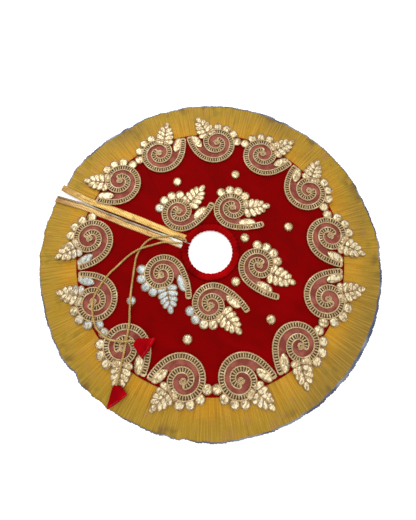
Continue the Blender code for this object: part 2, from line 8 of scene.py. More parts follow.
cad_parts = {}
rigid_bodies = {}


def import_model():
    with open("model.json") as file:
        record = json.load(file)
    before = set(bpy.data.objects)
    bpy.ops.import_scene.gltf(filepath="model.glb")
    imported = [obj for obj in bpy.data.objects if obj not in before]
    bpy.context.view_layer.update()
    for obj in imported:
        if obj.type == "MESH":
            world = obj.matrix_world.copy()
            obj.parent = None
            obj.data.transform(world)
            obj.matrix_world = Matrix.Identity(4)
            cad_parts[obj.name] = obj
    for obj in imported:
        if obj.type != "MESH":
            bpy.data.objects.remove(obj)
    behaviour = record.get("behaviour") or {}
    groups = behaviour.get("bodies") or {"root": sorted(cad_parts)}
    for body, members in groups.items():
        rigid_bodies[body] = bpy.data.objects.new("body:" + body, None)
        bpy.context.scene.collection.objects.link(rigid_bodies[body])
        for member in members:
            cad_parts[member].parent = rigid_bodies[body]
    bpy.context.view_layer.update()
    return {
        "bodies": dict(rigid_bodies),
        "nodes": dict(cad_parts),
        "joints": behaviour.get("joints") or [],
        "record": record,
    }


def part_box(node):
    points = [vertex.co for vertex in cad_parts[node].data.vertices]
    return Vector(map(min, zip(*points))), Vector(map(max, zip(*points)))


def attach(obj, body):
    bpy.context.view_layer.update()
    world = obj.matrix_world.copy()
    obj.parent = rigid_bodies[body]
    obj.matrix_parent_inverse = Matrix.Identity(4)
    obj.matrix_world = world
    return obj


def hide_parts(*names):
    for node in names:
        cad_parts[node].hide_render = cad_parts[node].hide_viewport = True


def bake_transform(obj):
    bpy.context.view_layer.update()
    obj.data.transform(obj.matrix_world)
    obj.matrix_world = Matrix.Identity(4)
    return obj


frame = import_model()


# The floor, the studio and the camera. The skirt lies flat on a pale floor under broad soft
# lamps, and the camera looks down on it from close above, a little in front of the trunk hole.
class Socket:
    """An output of a finish's nodes. Arithmetic on it adds Math nodes."""

    def __init__(self, finish, output):
        self.finish = finish
        self.output = output

    def maths(self, operation, *values):
        return self.finish.node("ShaderNodeMath", {"operation": operation}, dict(enumerate(values)))

    def __add__(self, other):
        return self.maths("ADD", self, other)

    def __sub__(self, other):
        return self.maths("SUBTRACT", self, other)

    def __rsub__(self, other):
        return self.maths("SUBTRACT", other, self)

    def __mul__(self, other):
        return self.maths("MULTIPLY", self, other)

    __radd__ = __add__
    __rmul__ = __mul__


class Finish:
    """A material whose nodes are added one at a time."""

    def __init__(self, name):
        self.material = bpy.data.materials.new(name)
        self.material.use_nodes = True
        self.tree = self.material.node_tree
        self.shader = self.tree.nodes["Principled BSDF"]

    def fill(self, node, sockets):
        for key, value in sockets.items():
            target = node.inputs[key]
            if isinstance(value, Socket):
                self.tree.links.new(value.output, target)
            elif target.type == "RGBA":
                target.default_value = (*value[:3], 1)
            else:
                target.default_value = value

    def node(self, kind, settings=None, sockets=None, output=0):
        made = self.tree.nodes.new(kind)
        for key, value in (settings or {}).items():
            setattr(made, key, value)
        self.fill(made, sockets or {})
        return Socket(self, made.outputs[output])

    def place(self):
        return self.node("ShaderNodeTexCoord", output="Object")

    def uv(self):
        return self.node("ShaderNodeTexCoord", output="UV")

    def cloud(self, scale, detail=2.0, vector=None, stretch=(1, 1, 1)):
        """Smooth noise, from about 0.3 to 0.7."""
        start = self.node("ShaderNodeMapping", {}, {"Vector": vector or self.place(), "Scale": stretch})
        return self.node("ShaderNodeTexNoise", {}, {"Vector": start, "Scale": scale, "Detail": detail})

    def masked(self, value, low, high):
        """0 below low, 1 above high, and smooth between them."""
        settings = {"interpolation_type": "SMOOTHSTEP"}
        return self.node("ShaderNodeMapRange", settings, {"Value": value, "From Min": low, "From Max": high})

    def mix(self, factor, first, second):
        return self.node("ShaderNodeMix", {"data_type": "RGBA"}, {0: factor, 6: first, 7: second}, 2)

    def patched(self, colour, value, low, high, patch, share=1.0):
        """A second colour over the first, by its share, where the value is over low to high."""
        return self.mix(self.masked(value, low, high) * share, colour, patch)

    def part(self, vector, number):
        return self.node("ShaderNodeSeparateXYZ", {}, {0: vector}, number)

    def waves(self, direction, vector, scale, **more):
        sockets = {"Vector": vector, "Scale": scale, **more}
        return self.node("ShaderNodeTexWave", {"bands_direction": direction}, sockets)

    def bump(self, height, distance, strength):
        sockets = {"Height": height, "Distance": distance, "Strength": strength}
        return self.node("ShaderNodeBump", {}, sockets)

    def shade(self, **sockets):
        """Sets the shader's sockets, whose names are written with underscores."""
        self.fill(self.shader, {key.replace("_", " "): value for key, value in sockets.items()})
        return self.material


def finished(name, bm, finishes, smooth=True):
    """Links a mesh as a finished object at the origin."""
    mesh = bpy.data.meshes.new(name)
    bm.to_mesh(mesh)
    bm.free()
    if smooth:
        mesh.shade_smooth()
    for finish in finishes:
        mesh.materials.append(finish)
    obj = bpy.data.objects.new(name, mesh)
    bpy.context.scene.collection.objects.link(obj)
    return obj


floor_mesh = bmesh.new()
bmesh.ops.create_grid(floor_mesh, x_segments=1, y_segments=1, size=12)
floor_finish = Finish("pale_floor")
floor_shade = floor_finish.cloud(3.0)
pale = floor_finish.mix(floor_shade, (0.90, 0.90, 0.90), (0.93, 0.93, 0.93))
floor_finish.shade(Base_Color=pale, Roughness=0.8, Emission_Color=(1, 1, 1), Emission_Strength=0.3)
finished("floor", floor_mesh, [floor_finish.material])

world = bpy.data.worlds.new("studio")
world.use_nodes = True
world.node_tree.nodes["Background"].inputs["Color"].default_value = (1, 1, 1, 1)
world.node_tree.nodes["Background"].inputs["Strength"].default_value = 0.62
bpy.context.scene.world = world
bpy.context.scene.view_settings.view_transform = "Standard"
for lamp_name, lamp_place, lamp_size, lamp_power in (
    ("lamp_above", (-0.25, 0.35, 1.5), 1.1, 13.5),
    ("lamp_side", (-1.2, 0.7, 0.8), 0.8, 6),
    ("lamp_front", (0.9, -0.9, 1.0), 1.0, 4),
):
    lamp = bpy.data.lights.new(lamp_name, "AREA")
    lamp.size = lamp_size
    lamp.energy = lamp_power
    lamp_object = bpy.data.objects.new(lamp_name, lamp)
    lamp_object.location = lamp_place
    lamp_object.rotation_euler = (-Vector(lamp_place)).to_track_quat("-Z", "Y").to_euler()
    bpy.context.scene.collection.objects.link(lamp_object)

CAMERA_PLACE = Vector((0.0282, -0.0818, 0.3934))
CAMERA_TARGET = Vector((0.0015, -0.0147, 0.0))
CAMERA_TOP = math.radians(111.7)
camera = bpy.data.cameras.new("camera")
camera.lens = 15.44
camera.clip_start = 0.01
camera_object = bpy.data.objects.new("camera", camera)
back = (CAMERA_PLACE - CAMERA_TARGET).normalized()
top = Vector((math.cos(CAMERA_TOP), math.sin(CAMERA_TOP), 0))
right = top.cross(back).normalized()
camera_turn = Matrix((right, back.cross(right), back)).transposed()
camera_object.matrix_world = Matrix.Translation(CAMERA_PLACE) @ camera_turn.to_4x4()
bpy.context.scene.collection.objects.link(camera_object)
bpy.context.scene.camera = camera_object


# The drawstring's two tails. One gold-brown cord of three twisted strands runs through the neck
# casing, and its tails come out at the slit, cross twice on the skirt and end in the tassels.
CORD_DIAMETER = 0.0035
CORD_SPACE = 0.0003
DISC_RISE = 0.0022
RIBBON_RISE = 0.0011
TASSEL_HALF_THICKNESS = 0.00325
CURVE_STEPS = 24
CORD_SPACING = 0.0011
CORD_TWIST = math.tau / 0.0105
STRAND_SHARE = 0.90
STRAND_DEPTH = 0.22
TRIM_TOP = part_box("outer_motif_01_gota")[1].z
VELVET_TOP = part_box("velvet_main")[1].z
CORD_IN_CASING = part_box("neck_casing")[1].z / 2
ON_VELVET = VELVET_TOP + CORD_SPACE + CORD_DIAMETER / 2
ON_RIBBON = VELVET_TOP + RIBBON_RISE + CORD_SPACE + CORD_DIAMETER / 2
ON_DISC = VELVET_TOP + DISC_RISE + CORD_DIAMETER / 2
ON_TRIM = TRIM_TOP + CORD_SPACE + CORD_DIAMETER / 2
OVER_CORD = CORD_DIAMETER + CORD_SPACE
TASSEL_MIDDLE = TRIM_TOP + CORD_SPACE + TASSEL_HALF_THICKNESS
TAIL_A_ROUTE = (
    (-0.0452, -0.0061, CORD_IN_CASING),
    (-0.0457, -0.0032, 0.0070),
    (-0.0472, 0.0014, 0.0094),
    (-0.0535, 0.0050, 0.0090),
    (-0.0623, 0.0050, ON_RIBBON),
    (-0.0767, 0.0002, ON_RIBBON),
    (-0.0949, -0.0088, ON_RIBBON),
    (-0.1020, -0.0135, ON_RIBBON),
    (-0.1067, -0.0178, ON_RIBBON),
    (-0.1125, -0.0250, ON_VELVET),
    (-0.1170, -0.0385, ON_VELVET),
    (-0.1180, -0.0563, ON_VELVET),
    (-0.1130, -0.0760, ON_VELVET),
    (-0.1060, -0.0990, ON_VELVET + 0.0004),
    (-0.0995, -0.1180, ON_DISC),
    (-0.0945, -0.1300, ON_DISC),
    (-0.0885, -0.1450, ON_TRIM - 0.0004),
    (-0.0803, -0.1633, ON_TRIM),
    (-0.0707, -0.1982, ON_TRIM),
    (-0.0630, -0.2339, ON_TRIM),
    (-0.0575, -0.2573, TASSEL_MIDDLE),
)
TAIL_B_ROUTE = (
    (-0.0452, 0.0061, CORD_IN_CASING),
    (-0.0457, 0.0030, 0.0032),
    (-0.0472, -0.0012, 0.0036),
    (-0.0512, -0.0042, 0.0068),
    (-0.0550, -0.0057, ON_RIBBON + 0.0006),
    (-0.0620, -0.0076, ON_RIBBON + 0.0002),
    (-0.0817, -0.0144, ON_RIBBON),
    (-0.0890, -0.0186, ON_RIBBON),
    (-0.0977, -0.0255, ON_VELVET + 0.0008),
    (-0.1108, -0.0369, ON_VELVET + OVER_CORD),
    (-0.1211, -0.0473, ON_VELVET + OVER_CORD),
    (-0.1327, -0.0638, ON_VELVET + 0.0006),
    (-0.1421, -0.0856, ON_VELVET + 0.0004),
    (-0.1478, -0.1020, ON_TRIM - 0.0004),
    (-0.1532, -0.1263, ON_TRIM),
    (-0.1531, -0.1535, ON_TRIM),
    (-0.1399, -0.1784, ON_TRIM),
    (-0.1233, -0.1933, ON_TRIM),
    (-0.1002, -0.1990, ON_TRIM + 0.0014),
    (-0.0790, -0.1938, ON_TRIM + OVER_CORD),
    (-0.0715, -0.1908, ON_TRIM + OVER_CORD),
    (-0.0664, -0.1878, TASSEL_MIDDLE + 0.0014),
    (-0.0626, -0.1867, TASSEL_MIDDLE + 0.0010),
    (-0.0583, -0.1866, TASSEL_MIDDLE + 0.0010),
)


def smooth_route(route, spacing):
    """Evenly spaced points on a smooth curve through the route's own points."""
    points = [Vector(point) for point in route]
    points = [2 * points[0] - points[1]] + points + [2 * points[-1] - points[-2]]
    fine = []
    for before, start, end, after in zip(points, points[1:], points[2:], points[3:]):
        for step in range(CURVE_STEPS):
            t = step / CURVE_STEPS
            linear_part = (end - before) * t
            square = (2 * before - 5 * start + 4 * end - after) * t**2
            cube = (3 * start - 3 * end + after - before) * t**3
            fine.append(start + (linear_part + square + cube) / 2)
    fine.append(points[-2])
    return evenly(fine, spacing)


def evenly(fine, spacing):
    """Points a set distance apart along a line of many points."""
    lengths = [0.0]
    for first, second in zip(fine, fine[1:]):
        lengths.append(lengths[-1] + (second - first).length)
    count = max(2, round(lengths[-1] / spacing))
    even = []
    at = 0
    for number in range(count + 1):
        wanted = lengths[-1] * number / count
        while at < len(fine) - 2 and lengths[at + 1] < wanted:
            at += 1
        even.append(fine[at].lerp(fine[at + 1], (wanted - lengths[at]) / (lengths[at + 1] - lengths[at])))
    return even


def length_of(points):
    return sum((second - first).length for first, second in zip(points, points[1:]))


def frames_along(points, twist=0.0, sizes=None):
    """A matrix at each point of a path, looking along it, that may turn and scale a profile."""
    made = []
    turned = 0.0
    for number, point in enumerate(points):
        before = points[max(0, number - 1)]
        after = points[min(len(points) - 1, number + 1)]
        ahead = (after - before).normalized()
        side = ahead.cross(Vector((0, 0, 1))).normalized()
        up = side.cross(ahead)
        if number:
            turned += twist * (point - points[number - 1]).length
        size = sizes[number] if sizes else 1.0
        axes = Matrix((side, up, ahead)).transposed().to_4x4()
        turning = Matrix.Rotation(turned, 4, "Z") @ Matrix.Scale(size, 4)
        made.append(Matrix.Translation(point) @ axes @ turning)
    return made


def extruded(bm, edges):
    """Extrudes edges, and returns the new vertices, the far edges and the faces between."""
    grown = bmesh.ops.extrude_edge_only(bm, edges=edges)["geom"]
    verts, far, faces = (
        [item for item in grown if isinstance(item, kind)]
        for kind in (bmesh.types.BMVert, bmesh.types.BMEdge, bmesh.types.BMFace)
    )
    return verts, [edge for edge in far if edge.verts[0] in verts and edge.verts[1] in verts], faces


def sweep(bm, profile, frames, finish=0):
    """Sweeps a closed profile of (side, up) points from frame to frame, and caps both ends."""
    first = [bm.verts.new(frames[0] @ Vector((x, y, 0))) for x, y in profile]
    edges = [bm.edges.new(pair) for pair in zip(first, first[1:] + first[:1])]
    made = bmesh.ops.edgeloop_fill(bm, edges=edges)["faces"]
    for before, after in zip(frames, frames[1:]):
        moved, edges, faces = extruded(bm, edges)
        bmesh.ops.transform(bm, matrix=after @ before.inverted(), verts=moved)
        made += faces
    made += bmesh.ops.edgeloop_fill(bm, edges=edges)["faces"]
    for face in made:
        face.material_index = finish


def round_profile(radius, sides, lobes=0, depth=0.0):
    points = []
    for number in range(sides):
        angle = math.tau * number / sides
        reach = radius * (1 + depth * math.cos(lobes * angle))
        points.append((reach * math.cos(angle), reach * math.sin(angle)))
    return points


def add_thread(bm, path, radius, sides, finish=0, twist=0.0, uneven=0.0, beat=0.0):
    """A thin cord along a path, that may swell and shrink a little."""
    sizes = [1 + uneven * math.sin(number * beat) for number in range(len(path))]
    sweep(bm, round_profile(radius, sides), frames_along(path, twist, sizes), finish)


def linear(*colour):
    """A colour given as red, green and blue from 0 to 255, as the shader's linear values."""
    shares = [value / 255 for value in colour]
    return tuple(((c + 0.055) / 1.055) ** 2.4 if c > 10 / 255 else c / 12.92 for c in shares)


def cord_finish():
    finish = Finish("twisted_cord")
    fibres = finish.cloud(900, 3)
    wear_and_glint = finish.cloud(70, 2)
    colour = finish.patched(linear(122, 88, 36), fibres, 0.35, 0.68, linear(214, 178, 100))
    colour = finish.patched(colour, wear_and_glint, 0.45, 0.75, linear(196, 160, 106))
    return finish.shade(
        Base_Color=colour,
        Roughness=0.45 + 0.3 * fibres,
        Metallic=0.15,
        Normal=finish.bump(fibres, 0.0003, 0.6),
    )


def settle(piece, body, slot, *nodes):
    """Lets a piece ride on its body, in place of the solids named. The slot argument is not used."""
    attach(piece, body)
    if nodes:
        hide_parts(*nodes)


cord_material = cord_finish()
tails = {}
for tail_name, route in (("a", TAIL_A_ROUTE), ("b", TAIL_B_ROUTE)):
    path = smooth_route(route, CORD_SPACING)
    strands = bmesh.new()
    profile = round_profile(CORD_DIAMETER / 2 * STRAND_SHARE, 12, 3, STRAND_DEPTH)
    sweep(strands, profile, frames_along(path, CORD_TWIST))
    bmesh.ops.recalc_face_normals(strands, faces=strands.faces)
    tail = finished("cord_tail_" + tail_name, strands, [cord_material])
    tails[tail_name] = (tail, path)
    settle(tail, "skirt", "gold_cord", "drawstring_tail_" + tail_name)


# The tassels. Each is a square of bright crimson velvet folded to a pocket and drawn together
# round the end of its cord. The wide end is cut on the slant, hemmed and stitched, and open.
def tones_of(colours):
    return [linear(*colour) for colour in colours]


def velvet_finish(name, colours, weave=1500):
    """Short pile: painted shade and painted sheen, as darker and lighter patches where the nap lies either
    way, with a soft sheen.
    """
    deep, plain, lit = tones_of(colours)
    finish = Finish(name)
    nap = finish.cloud(34, 4)
    brushed_sheen = finish.cloud(9, 2, stretch=(1, 2.2, 1))
    pile = finish.cloud(weave, 2)
    # Painted sheen and shade: shaded, plain and lit tones of the one velvet, mixed by the nap's patches, the
    # brushed streaks and the pile.
    colour = finish.patched(deep, nap, 0.36, 0.56, plain)
    colour = finish.patched(colour, brushed_sheen, 0.50, 0.72, lit)
    colour = finish.patched(colour, pile, 0.58, 0.80, lit, 0.35)
    height = pile + 2.5 * finish.cloud(160, 2)
    return finish.shade(
        Base_Color=colour,
        Roughness=0.72 + 0.25 * nap,
        Sheen_Weight=0.02,
        Sheen_Roughness=0.35,
        Sheen_Tint=(1.0, 0.1, 0.1, 1),
        Specular_IOR_Level=0.03,
        Normal=finish.bump(height, 0.00035, 0.7),
    )


TASSEL_SIDES = 40
MOUTH_BOW = 0.0016
STITCH_PITCH = 0.0021
STITCH_HALF = 0.0006
STITCH_RADIUS = 0.00022
HEM_WIDTH = 0.0036
HEM_HEIGHT = 0.0024
# Share of the way from the blunt tip to the mouth, share of the width and half thickness.
TASSEL_SECTIONS = (
    (0.00, 0.20, 0.0012),
    (0.00, 0.72, 0.0021),
    (0.03, 0.92, 0.0025),
    (0.10, 1.00, 0.0029),
    (0.25, 1.00, 0.0032),
    (0.45, 1.00, 0.0033),
    (0.65, 1.00, 0.0031),
    (0.84, 1.00, 0.0028),
    (0.88, 0.99, 0.0022),
    (0.91, 1.00, 0.0026),
    (0.97, 1.00, 0.0025),
    (1.00, 0.99, 0.0021),
    (0.98, 0.93, 0.0010),
    (0.84, 0.88, 0.0006),
    (0.60, 0.80, 0.0004),
)


def tassel_mesh(tip_width, left_corner, right_corner, seed):
    """The pocket from its tip at the origin to its two corners, with an open mouth."""
    bm = bmesh.new()
    rings = []
    left_start, right_start = Vector((0, tip_width / 2, 0)), Vector((0, -tip_width / 2, 0))
    left_end, right_end = Vector((*left_corner, 0)), Vector((*right_corner, 0))
    for reach, width, half_height in TASSEL_SECTIONS:
        left = left_start.lerp(left_end, reach)
        right = right_start.lerp(right_end, reach)
        middle, half = (left + right) / 2, (left - right) / 2
        ring = bmesh.ops.create_circle(bm, segments=TASSEL_SIDES, radius=1.0)["verts"]
        for vert in ring:
            across, up = vert.co.x, vert.co.y
            across = math.copysign(abs(across) ** 0.8, across)
            up = math.copysign(abs(up) ** 0.8, up)
            bowed = Vector((MOUTH_BOW * (1 - across**2) * reach, 0, 0))
            crease = 0.0011 * reach * noise.noise(Vector((reach * 2.2, across * 1.9, seed)))
            fold = 0.0007 * reach * math.exp(-(((across - 0.45) / 0.16) ** 2))
            height = half_height * up * (1 - 0.25 * abs(across) ** 3) + crease + fold * max(0.0, up)
            vert.co = middle + half * (across * width) + bowed + Vector((0, 0, height))
        rings.append(ring)
    for before, after in zip(rings, rings[1:]):
        edges = [edge for vert in before + after for edge in vert.link_edges]
        bmesh.ops.bridge_loops(bm, edges=list({e for e in edges if len(e.link_faces) < 2}))
    ends = [edge for edge in bm.edges if len(edge.link_faces) < 2]
    bmesh.ops.holes_fill(bm, edges=ends, sides=TASSEL_SIDES)
    bmesh.ops.recalc_face_normals(bm, faces=bm.faces)
    return bm


def hem_stitches(left_corner, right_corner):
    """Short stitches in a line along a tassel's hem, on both its faces."""
    bm = bmesh.new()
    left, right = Vector((*left_corner, 0)), Vector((*right_corner, 0))
    count = round((right - left).length / STITCH_PITCH)
    along = (right - left).normalized()
    back = Vector((-abs(along.y), 0, 0)) * HEM_WIDTH
    for number in range(1, count):
        middle = left.lerp(right, number / count) + back
        middle += Vector((MOUTH_BOW * (1 - (2 * number / count - 1) ** 2), 0, 0))
        for side in (-1, 1):
            lift = Vector((0, 0, side * HEM_HEIGHT))
            half = along * STITCH_HALF
            ends = [middle - half + lift, middle + lift * 1.04, middle + half + lift]
            add_thread(bm, ends, STITCH_RADIUS, 5)
    return bm


tassel_material = velvet_finish("crimson_velvet", ((104, 0, 3), (150, 0, 8), (184, 2, 16)), 1300)
stitch_finish = Finish("stitch_thread")
stitch_material = stitch_finish.shade(
    Base_Color=stitch_finish.mix(stitch_finish.cloud(700), linear(150, 60, 70), linear(205, 90, 100)),
    Roughness=0.6,
)
# Its turn on the skirt, the width of its tip, its mouth's two corners and its creases' seed.
TASSEL_SHAPES = {
    "a": (-66, 0.0118, (0.0140, 0.0178), (0.0345, -0.0150), 3.7),
    "b": (-5, 0.0120, (0.0275, 0.0205), (0.0240, -0.0185), 9.1),
}
for tail_name, (angle, tip_width, left_corner, right_corner, seed) in TASSEL_SHAPES.items():
    tail, path = tails[tail_name]
    body = "tassel_" + tail_name
    place = Matrix.Translation(path[-1]) @ Matrix.Rotation(math.radians(angle), 4, "Z")
    pocket = tassel_mesh(tip_width, left_corner, right_corner, seed)
    stitches = hem_stitches(left_corner, right_corner)
    for bm in (pocket, stitches):
        bmesh.ops.transform(bm, matrix=place, verts=bm.verts)
    stitching = finished("tassel_stitches_" + tail_name, stitches, [stitch_material])
    settle(stitching, body, "bright_velvet")
    tassel = finished("tassel_pocket_" + tail_name, pocket, [tassel_material])
    subdivided = tassel.modifiers.new("Subdivision", "SUBSURF")
    subdivided.levels = subdivided.render_levels = 1
    settle(tassel, body, "bright_velvet", body)
    length_of(path)


# The neck casing. A strip of bright red velvet folded over the drawstring and gathered on it
# round the trunk hole. Its two open ends meet at the slit, where the cord comes out.
HOLE_RADIUS = 0.039
NECK_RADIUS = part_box("neck_casing")[1].x
CASING_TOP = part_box("neck_casing")[1].z
CASING_END_HALF_GAP = 0.0014
CASING_MIDDLE = (HOLE_RADIUS + NECK_RADIUS) / 2
CASING_END_ANGLE = math.asin(CASING_END_HALF_GAP / CASING_MIDDLE)
GATHER_PITCH = 9.5
GATHER_SEED = 1.5


def ripple(angle):
    """The gathers' height: one about every few degrees, and never quite the same."""
    around = Vector((math.cos(angle), math.sin(angle), 0))
    wander = noise.noise(around * 2.3 + Vector((0, 0, GATHER_SEED)))
    strength = 0.75 + 0.8 * noise.noise(around * 5 + Vector((0, 0, GATHER_SEED + 4)))
    return math.sin(angle * 360 / GATHER_PITCH + 2.2 * wander) * strength


def casing_mesh():
    """A tube of 20 sides bent round the hole, with its two ends turned in round the cord."""
    bm = bmesh.new()
    half_width = (NECK_RADIUS - HOLE_RADIUS) / 2
    half_height = CASING_TOP / 2
    steps, sides = 420, 20
    bmesh.ops.create_grid(bm, x_segments=steps, y_segments=sides, size=0.5)
    for vert in bm.verts:
        angle = vert.co.x * 2 * (math.pi - CASING_END_ANGLE)
        from_end = math.pi - abs(angle) - CASING_END_ANGLE
        pinch = max(0.0, 1 - from_end / 0.16)
        gather = ripple(angle)
        side = vert.co.y * math.tau
        across = math.copysign(abs(math.cos(side)) ** 0.8, math.cos(side))
        up = math.copysign(abs(math.sin(side)) ** 0.75, math.sin(side))
        reach = half_width * 0.97 * across + 0.00055 * gather * across + 0.0007 * pinch * across
        height = half_height * (1 + 0.96 * up) + 0.00075 * gather * max(0.0, up) - 0.0006 * pinch * up
        radius = CASING_MIDDLE + reach
        vert.co = (radius * math.cos(angle), radius * math.sin(angle), height)
    bmesh.ops.remove_doubles(bm, verts=bm.verts, dist=0.00002)
    for end in (-1, 1):
        rim = [edge for edge in bm.edges if len(edge.link_faces) == 1 and edge.verts[0].co.y * end > 0]
        for size, depth in ((0.62, 0.0), (0.55, -0.005)):
            moved, rim, _ = extruded(bm, rim)
            centre = sum((vert.co for vert in moved), Vector()) / len(moved)
            for vert in moved:
                vert.co = centre + (vert.co - centre) * size
            bmesh.ops.translate(bm, verts=moved, vec=(0, depth * -end, 0))
        bmesh.ops.edgeloop_fill(bm, edges=rim)
    bmesh.ops.recalc_face_normals(bm, faces=bm.faces)
    return bm


casing_material = velvet_finish("bright_velvet", ((110, 0, 1), (140, 1, 4), (168, 5, 9)), 1400)
casing = finished("gathered_casing", casing_mesh(), [casing_material])
settle(casing, "skirt", "bright_velvet", "neck_casing")
held_cord = frame["nodes"]["drawstring_in_casing"].data
held_cord.materials.clear()
held_cord.materials.append(cord_material)


# The lining and the velvet. Two rings of cloth lie one on the other, cut open along the slit.
# Each is one sheet, cut just beyond the fold into a front part and the rest.
LINING_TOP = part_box("lining_main")[1].z
LINING_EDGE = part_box("lining_main")[1].x
VELVET_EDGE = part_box("velvet_main")[1].x
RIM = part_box("frill_main")[1].x
SLIT_AT_NECK = 0.0030
SLIT_AT_RIM = 0.0120
SLIT_OPENS = 0.255
FOLD_MARGIN = 0.013
FRONT_WIDTH = 0.19
LEAST_SHARE = 0.31
VELVET_THICKNESS = 0.0016
fold = frame["joints"][0]
FOLD_START = Vector((fold["pos_m"][0], fold["pos_m"][1], 0))
FOLD_ALONG = Vector(fold["axis"])
TO_MAIN = Vector((FOLD_ALONG.y, -FOLD_ALONG.x, 0))


def slit_half_gap(radius):
    share = (radius - NECK_RADIUS) / (RIM - NECK_RADIUS)
    return (SLIT_AT_NECK + share * (SLIT_AT_RIM - SLIT_AT_NECK)) / 2


def seen_half_gap(radius, least):
    """The cloth's edges nearly meet along the slit, and part over its last stretch to the rim."""
    share = min(1.0, max(0.0, (radius - SLIT_OPENS) / (RIM - SLIT_OPENS)))
    return least + (slit_half_gap(radius) - least) * share**0.8


def lie(x, y):
    """How far the cloth lifts off the floor as it lies, in soft broad waves."""
    radius = math.hypot(x, y)
    fade = min(1.0, max(0.0, (radius - NECK_RADIUS) / 0.03)) * min(1.0, max(0.0, (RIM - radius) / 0.06))
    broad = 0.5 + 0.5 * noise.noise(Vector((x * 13, y * 13, 2.0)))
    return 0.0011 * fade * broad


def face_up(bm):
    bm.normal_update()
    if sum(face.normal.z for face in bm.faces) < 0:
        bmesh.ops.reverse_faces(bm, faces=bm.faces)
    return bm


def cloth_ring(radii, steps, shape, least_gap):
    """A sheet bent once round from one side of the slit to the other, and shaped.

    The shape function takes the angle and the radius, and gives the new radius and the height."""
    bm = bmesh.new()
    rows = len(radii) - 1
    bmesh.ops.create_grid(bm, x_segments=steps, y_segments=rows, size=0.5)
    uv = bm.loops.layers.uv.new("UVMap")
    for vert in bm.verts:
        flat = radii[round((vert.co.y + 0.5) * rows)]
        angle = vert.co.x * math.tau * (1 - math.asin(seen_half_gap(flat, least_gap) / flat) / math.pi)
        for loop in vert.link_loops:
            loop[uv].uv = (angle * radii[0], flat)
        radius, height = shape(angle, flat)
        vert.co = (radius * math.cos(angle), radius * math.sin(angle), height)
    return face_up(bm)


def beyond_slit(point):
    return point.y > 0 and point.x < -0.02


def cut_beyond_fold(bm, keep_front):
    """Keeps the front strip with its margin beyond the fold, or the rest of the sheet."""
    near = [face for face in bm.faces if beyond_slit(face.calc_center_median())]
    verts = {vert for face in near for vert in face.verts}
    edges = {edge for face in near for edge in face.edges}
    cut = FOLD_START + TO_MAIN * FOLD_MARGIN
    bmesh.ops.bisect_plane(bm, geom=list(verts) + list(edges) + near, plane_co=cut, plane_no=TO_MAIN)
    front = []
    for face in bm.faces:
        middle = face.calc_center_median()
        if beyond_slit(middle) and (middle - cut).dot(TO_MAIN) < 0:
            front.append(face)
    chosen = set(front)
    gone = [face for face in bm.faces if (face in chosen) != keep_front]
    bmesh.ops.delete(bm, geom=gone, context="FACES")
    return bm


def thicken(bm, thickness):
    """Gives a sheet its thickness, downwards."""
    bmesh.ops.solidify(bm, geom=bm.faces, thickness=thickness)
    return bm


def fold_with_front(piece):
    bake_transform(piece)


def spread(first, last, steps):
    return [first + (last - first) * number / steps for number in range(steps + 1)]


def area_of(bm):
    return sum(face.calc_area() for face in bm.faces)


def add_ring(name, radii, steps, shape, thickness, finish, slot, least_gap, fullness=1.0):
    """Both parts of one ring of cloth, each standing for its CAD solid."""
    ring = cloth_ring(radii, steps, shape, least_gap)
    for part, node in (("main", name + "_main"), ("front", name + "_flap")):
        bm = cut_beyond_fold(ring.copy(), part == "front")
        flat = area_of(bm) * fullness
        piece = finished(f"{name}_{part}_sheet", thicken(bm, thickness), [finish])
        width, length = FRONT_WIDTH, radii[-1] - radii[0]
        if part == "main":
            width = length = 2 * radii[-1]
        length = max(length, flat / width)
        max(flat, LEAST_SHARE * width * length)
        if part == "main":
            settle(piece, "skirt", slot, node)
        else:
            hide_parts(node)
            fold_with_front(piece)


def lining_finish():
    finish = Finish("lining_cloth")
    weave = finish.waves("X", finish.place(), 320) + finish.waves("Y", finish.place(), 320)
    faded = finish.cloud(12, 3)
    colour = finish.mix(faded, linear(120, 22, 26), linear(150, 36, 38))
    outward = finish.part(finish.place(), 0)
    sideways = finish.part(finish.place(), 1)
    # Painted shadow: a narrow band of the lining on either side of the slit is turned near-black, for the
    # shade down in the slit.
    beside_slit = finish.masked(1 - sideways.maths("ABSOLUTE", sideways), 0.9962, 0.9978)
    painted_slit_shadow = beside_slit * finish.masked(1 - outward, 1.03, 1.04)
    return finish.shade(
        Base_Color=finish.mix(painted_slit_shadow, colour, linear(30, 8, 8)),
        Roughness=0.8,
        Normal=finish.bump(weave, 0.0002, 0.5),
    )


# The lining's edges come within 0.3 mm of the slit's middle, so its dark cloth fills the slit and stands in
# for the shade there.
add_ring(
    "lining",
    spread(NECK_RADIUS + 0.0004, LINING_EDGE, 16),
    180,
    lambda angle, radius: (radius, LINING_TOP + lie(radius * math.cos(angle), radius * math.sin(angle))),
    LINING_TOP * 0.9,
    lining_finish(),
    "lining_cloth",
    0.0003,
)


def velvet_shape(angle, radius):
    """Level between the motifs, drawn in by the gathers at the neck, and rolled at its edge."""
    x, y = radius * math.cos(angle), radius * math.sin(angle)
    fine = 0.00022 * noise.noise(Vector((x * 45, y * 45, 7.0)))
    near_neck = max(0.0, 1 - (radius - NECK_RADIUS) / 0.022)
    gather = 0.0005 * near_neck * ripple(angle)
    roll = max(0.0, (radius - (VELVET_EDGE - 0.003)) / 0.003)
    return radius, VELVET_TOP - 0.0001 + lie(x, y) + fine + gather - 0.0006 * roll**2


red_velvet = velvet_finish("red_velvet", ((112, 0, 0), (120, 0, 1), (129, 0, 2)))
add_ring(
    "velvet",
    spread(NECK_RADIUS - 0.0012, VELVET_EDGE - 0.003, 44) + spread(VELVET_EDGE - 0.002, VELVET_EDGE, 2),
    360,
    velvet_shape,
    VELVET_THICKNESS,
    red_velvet,
    "red_velvet",
    0.0007,
)


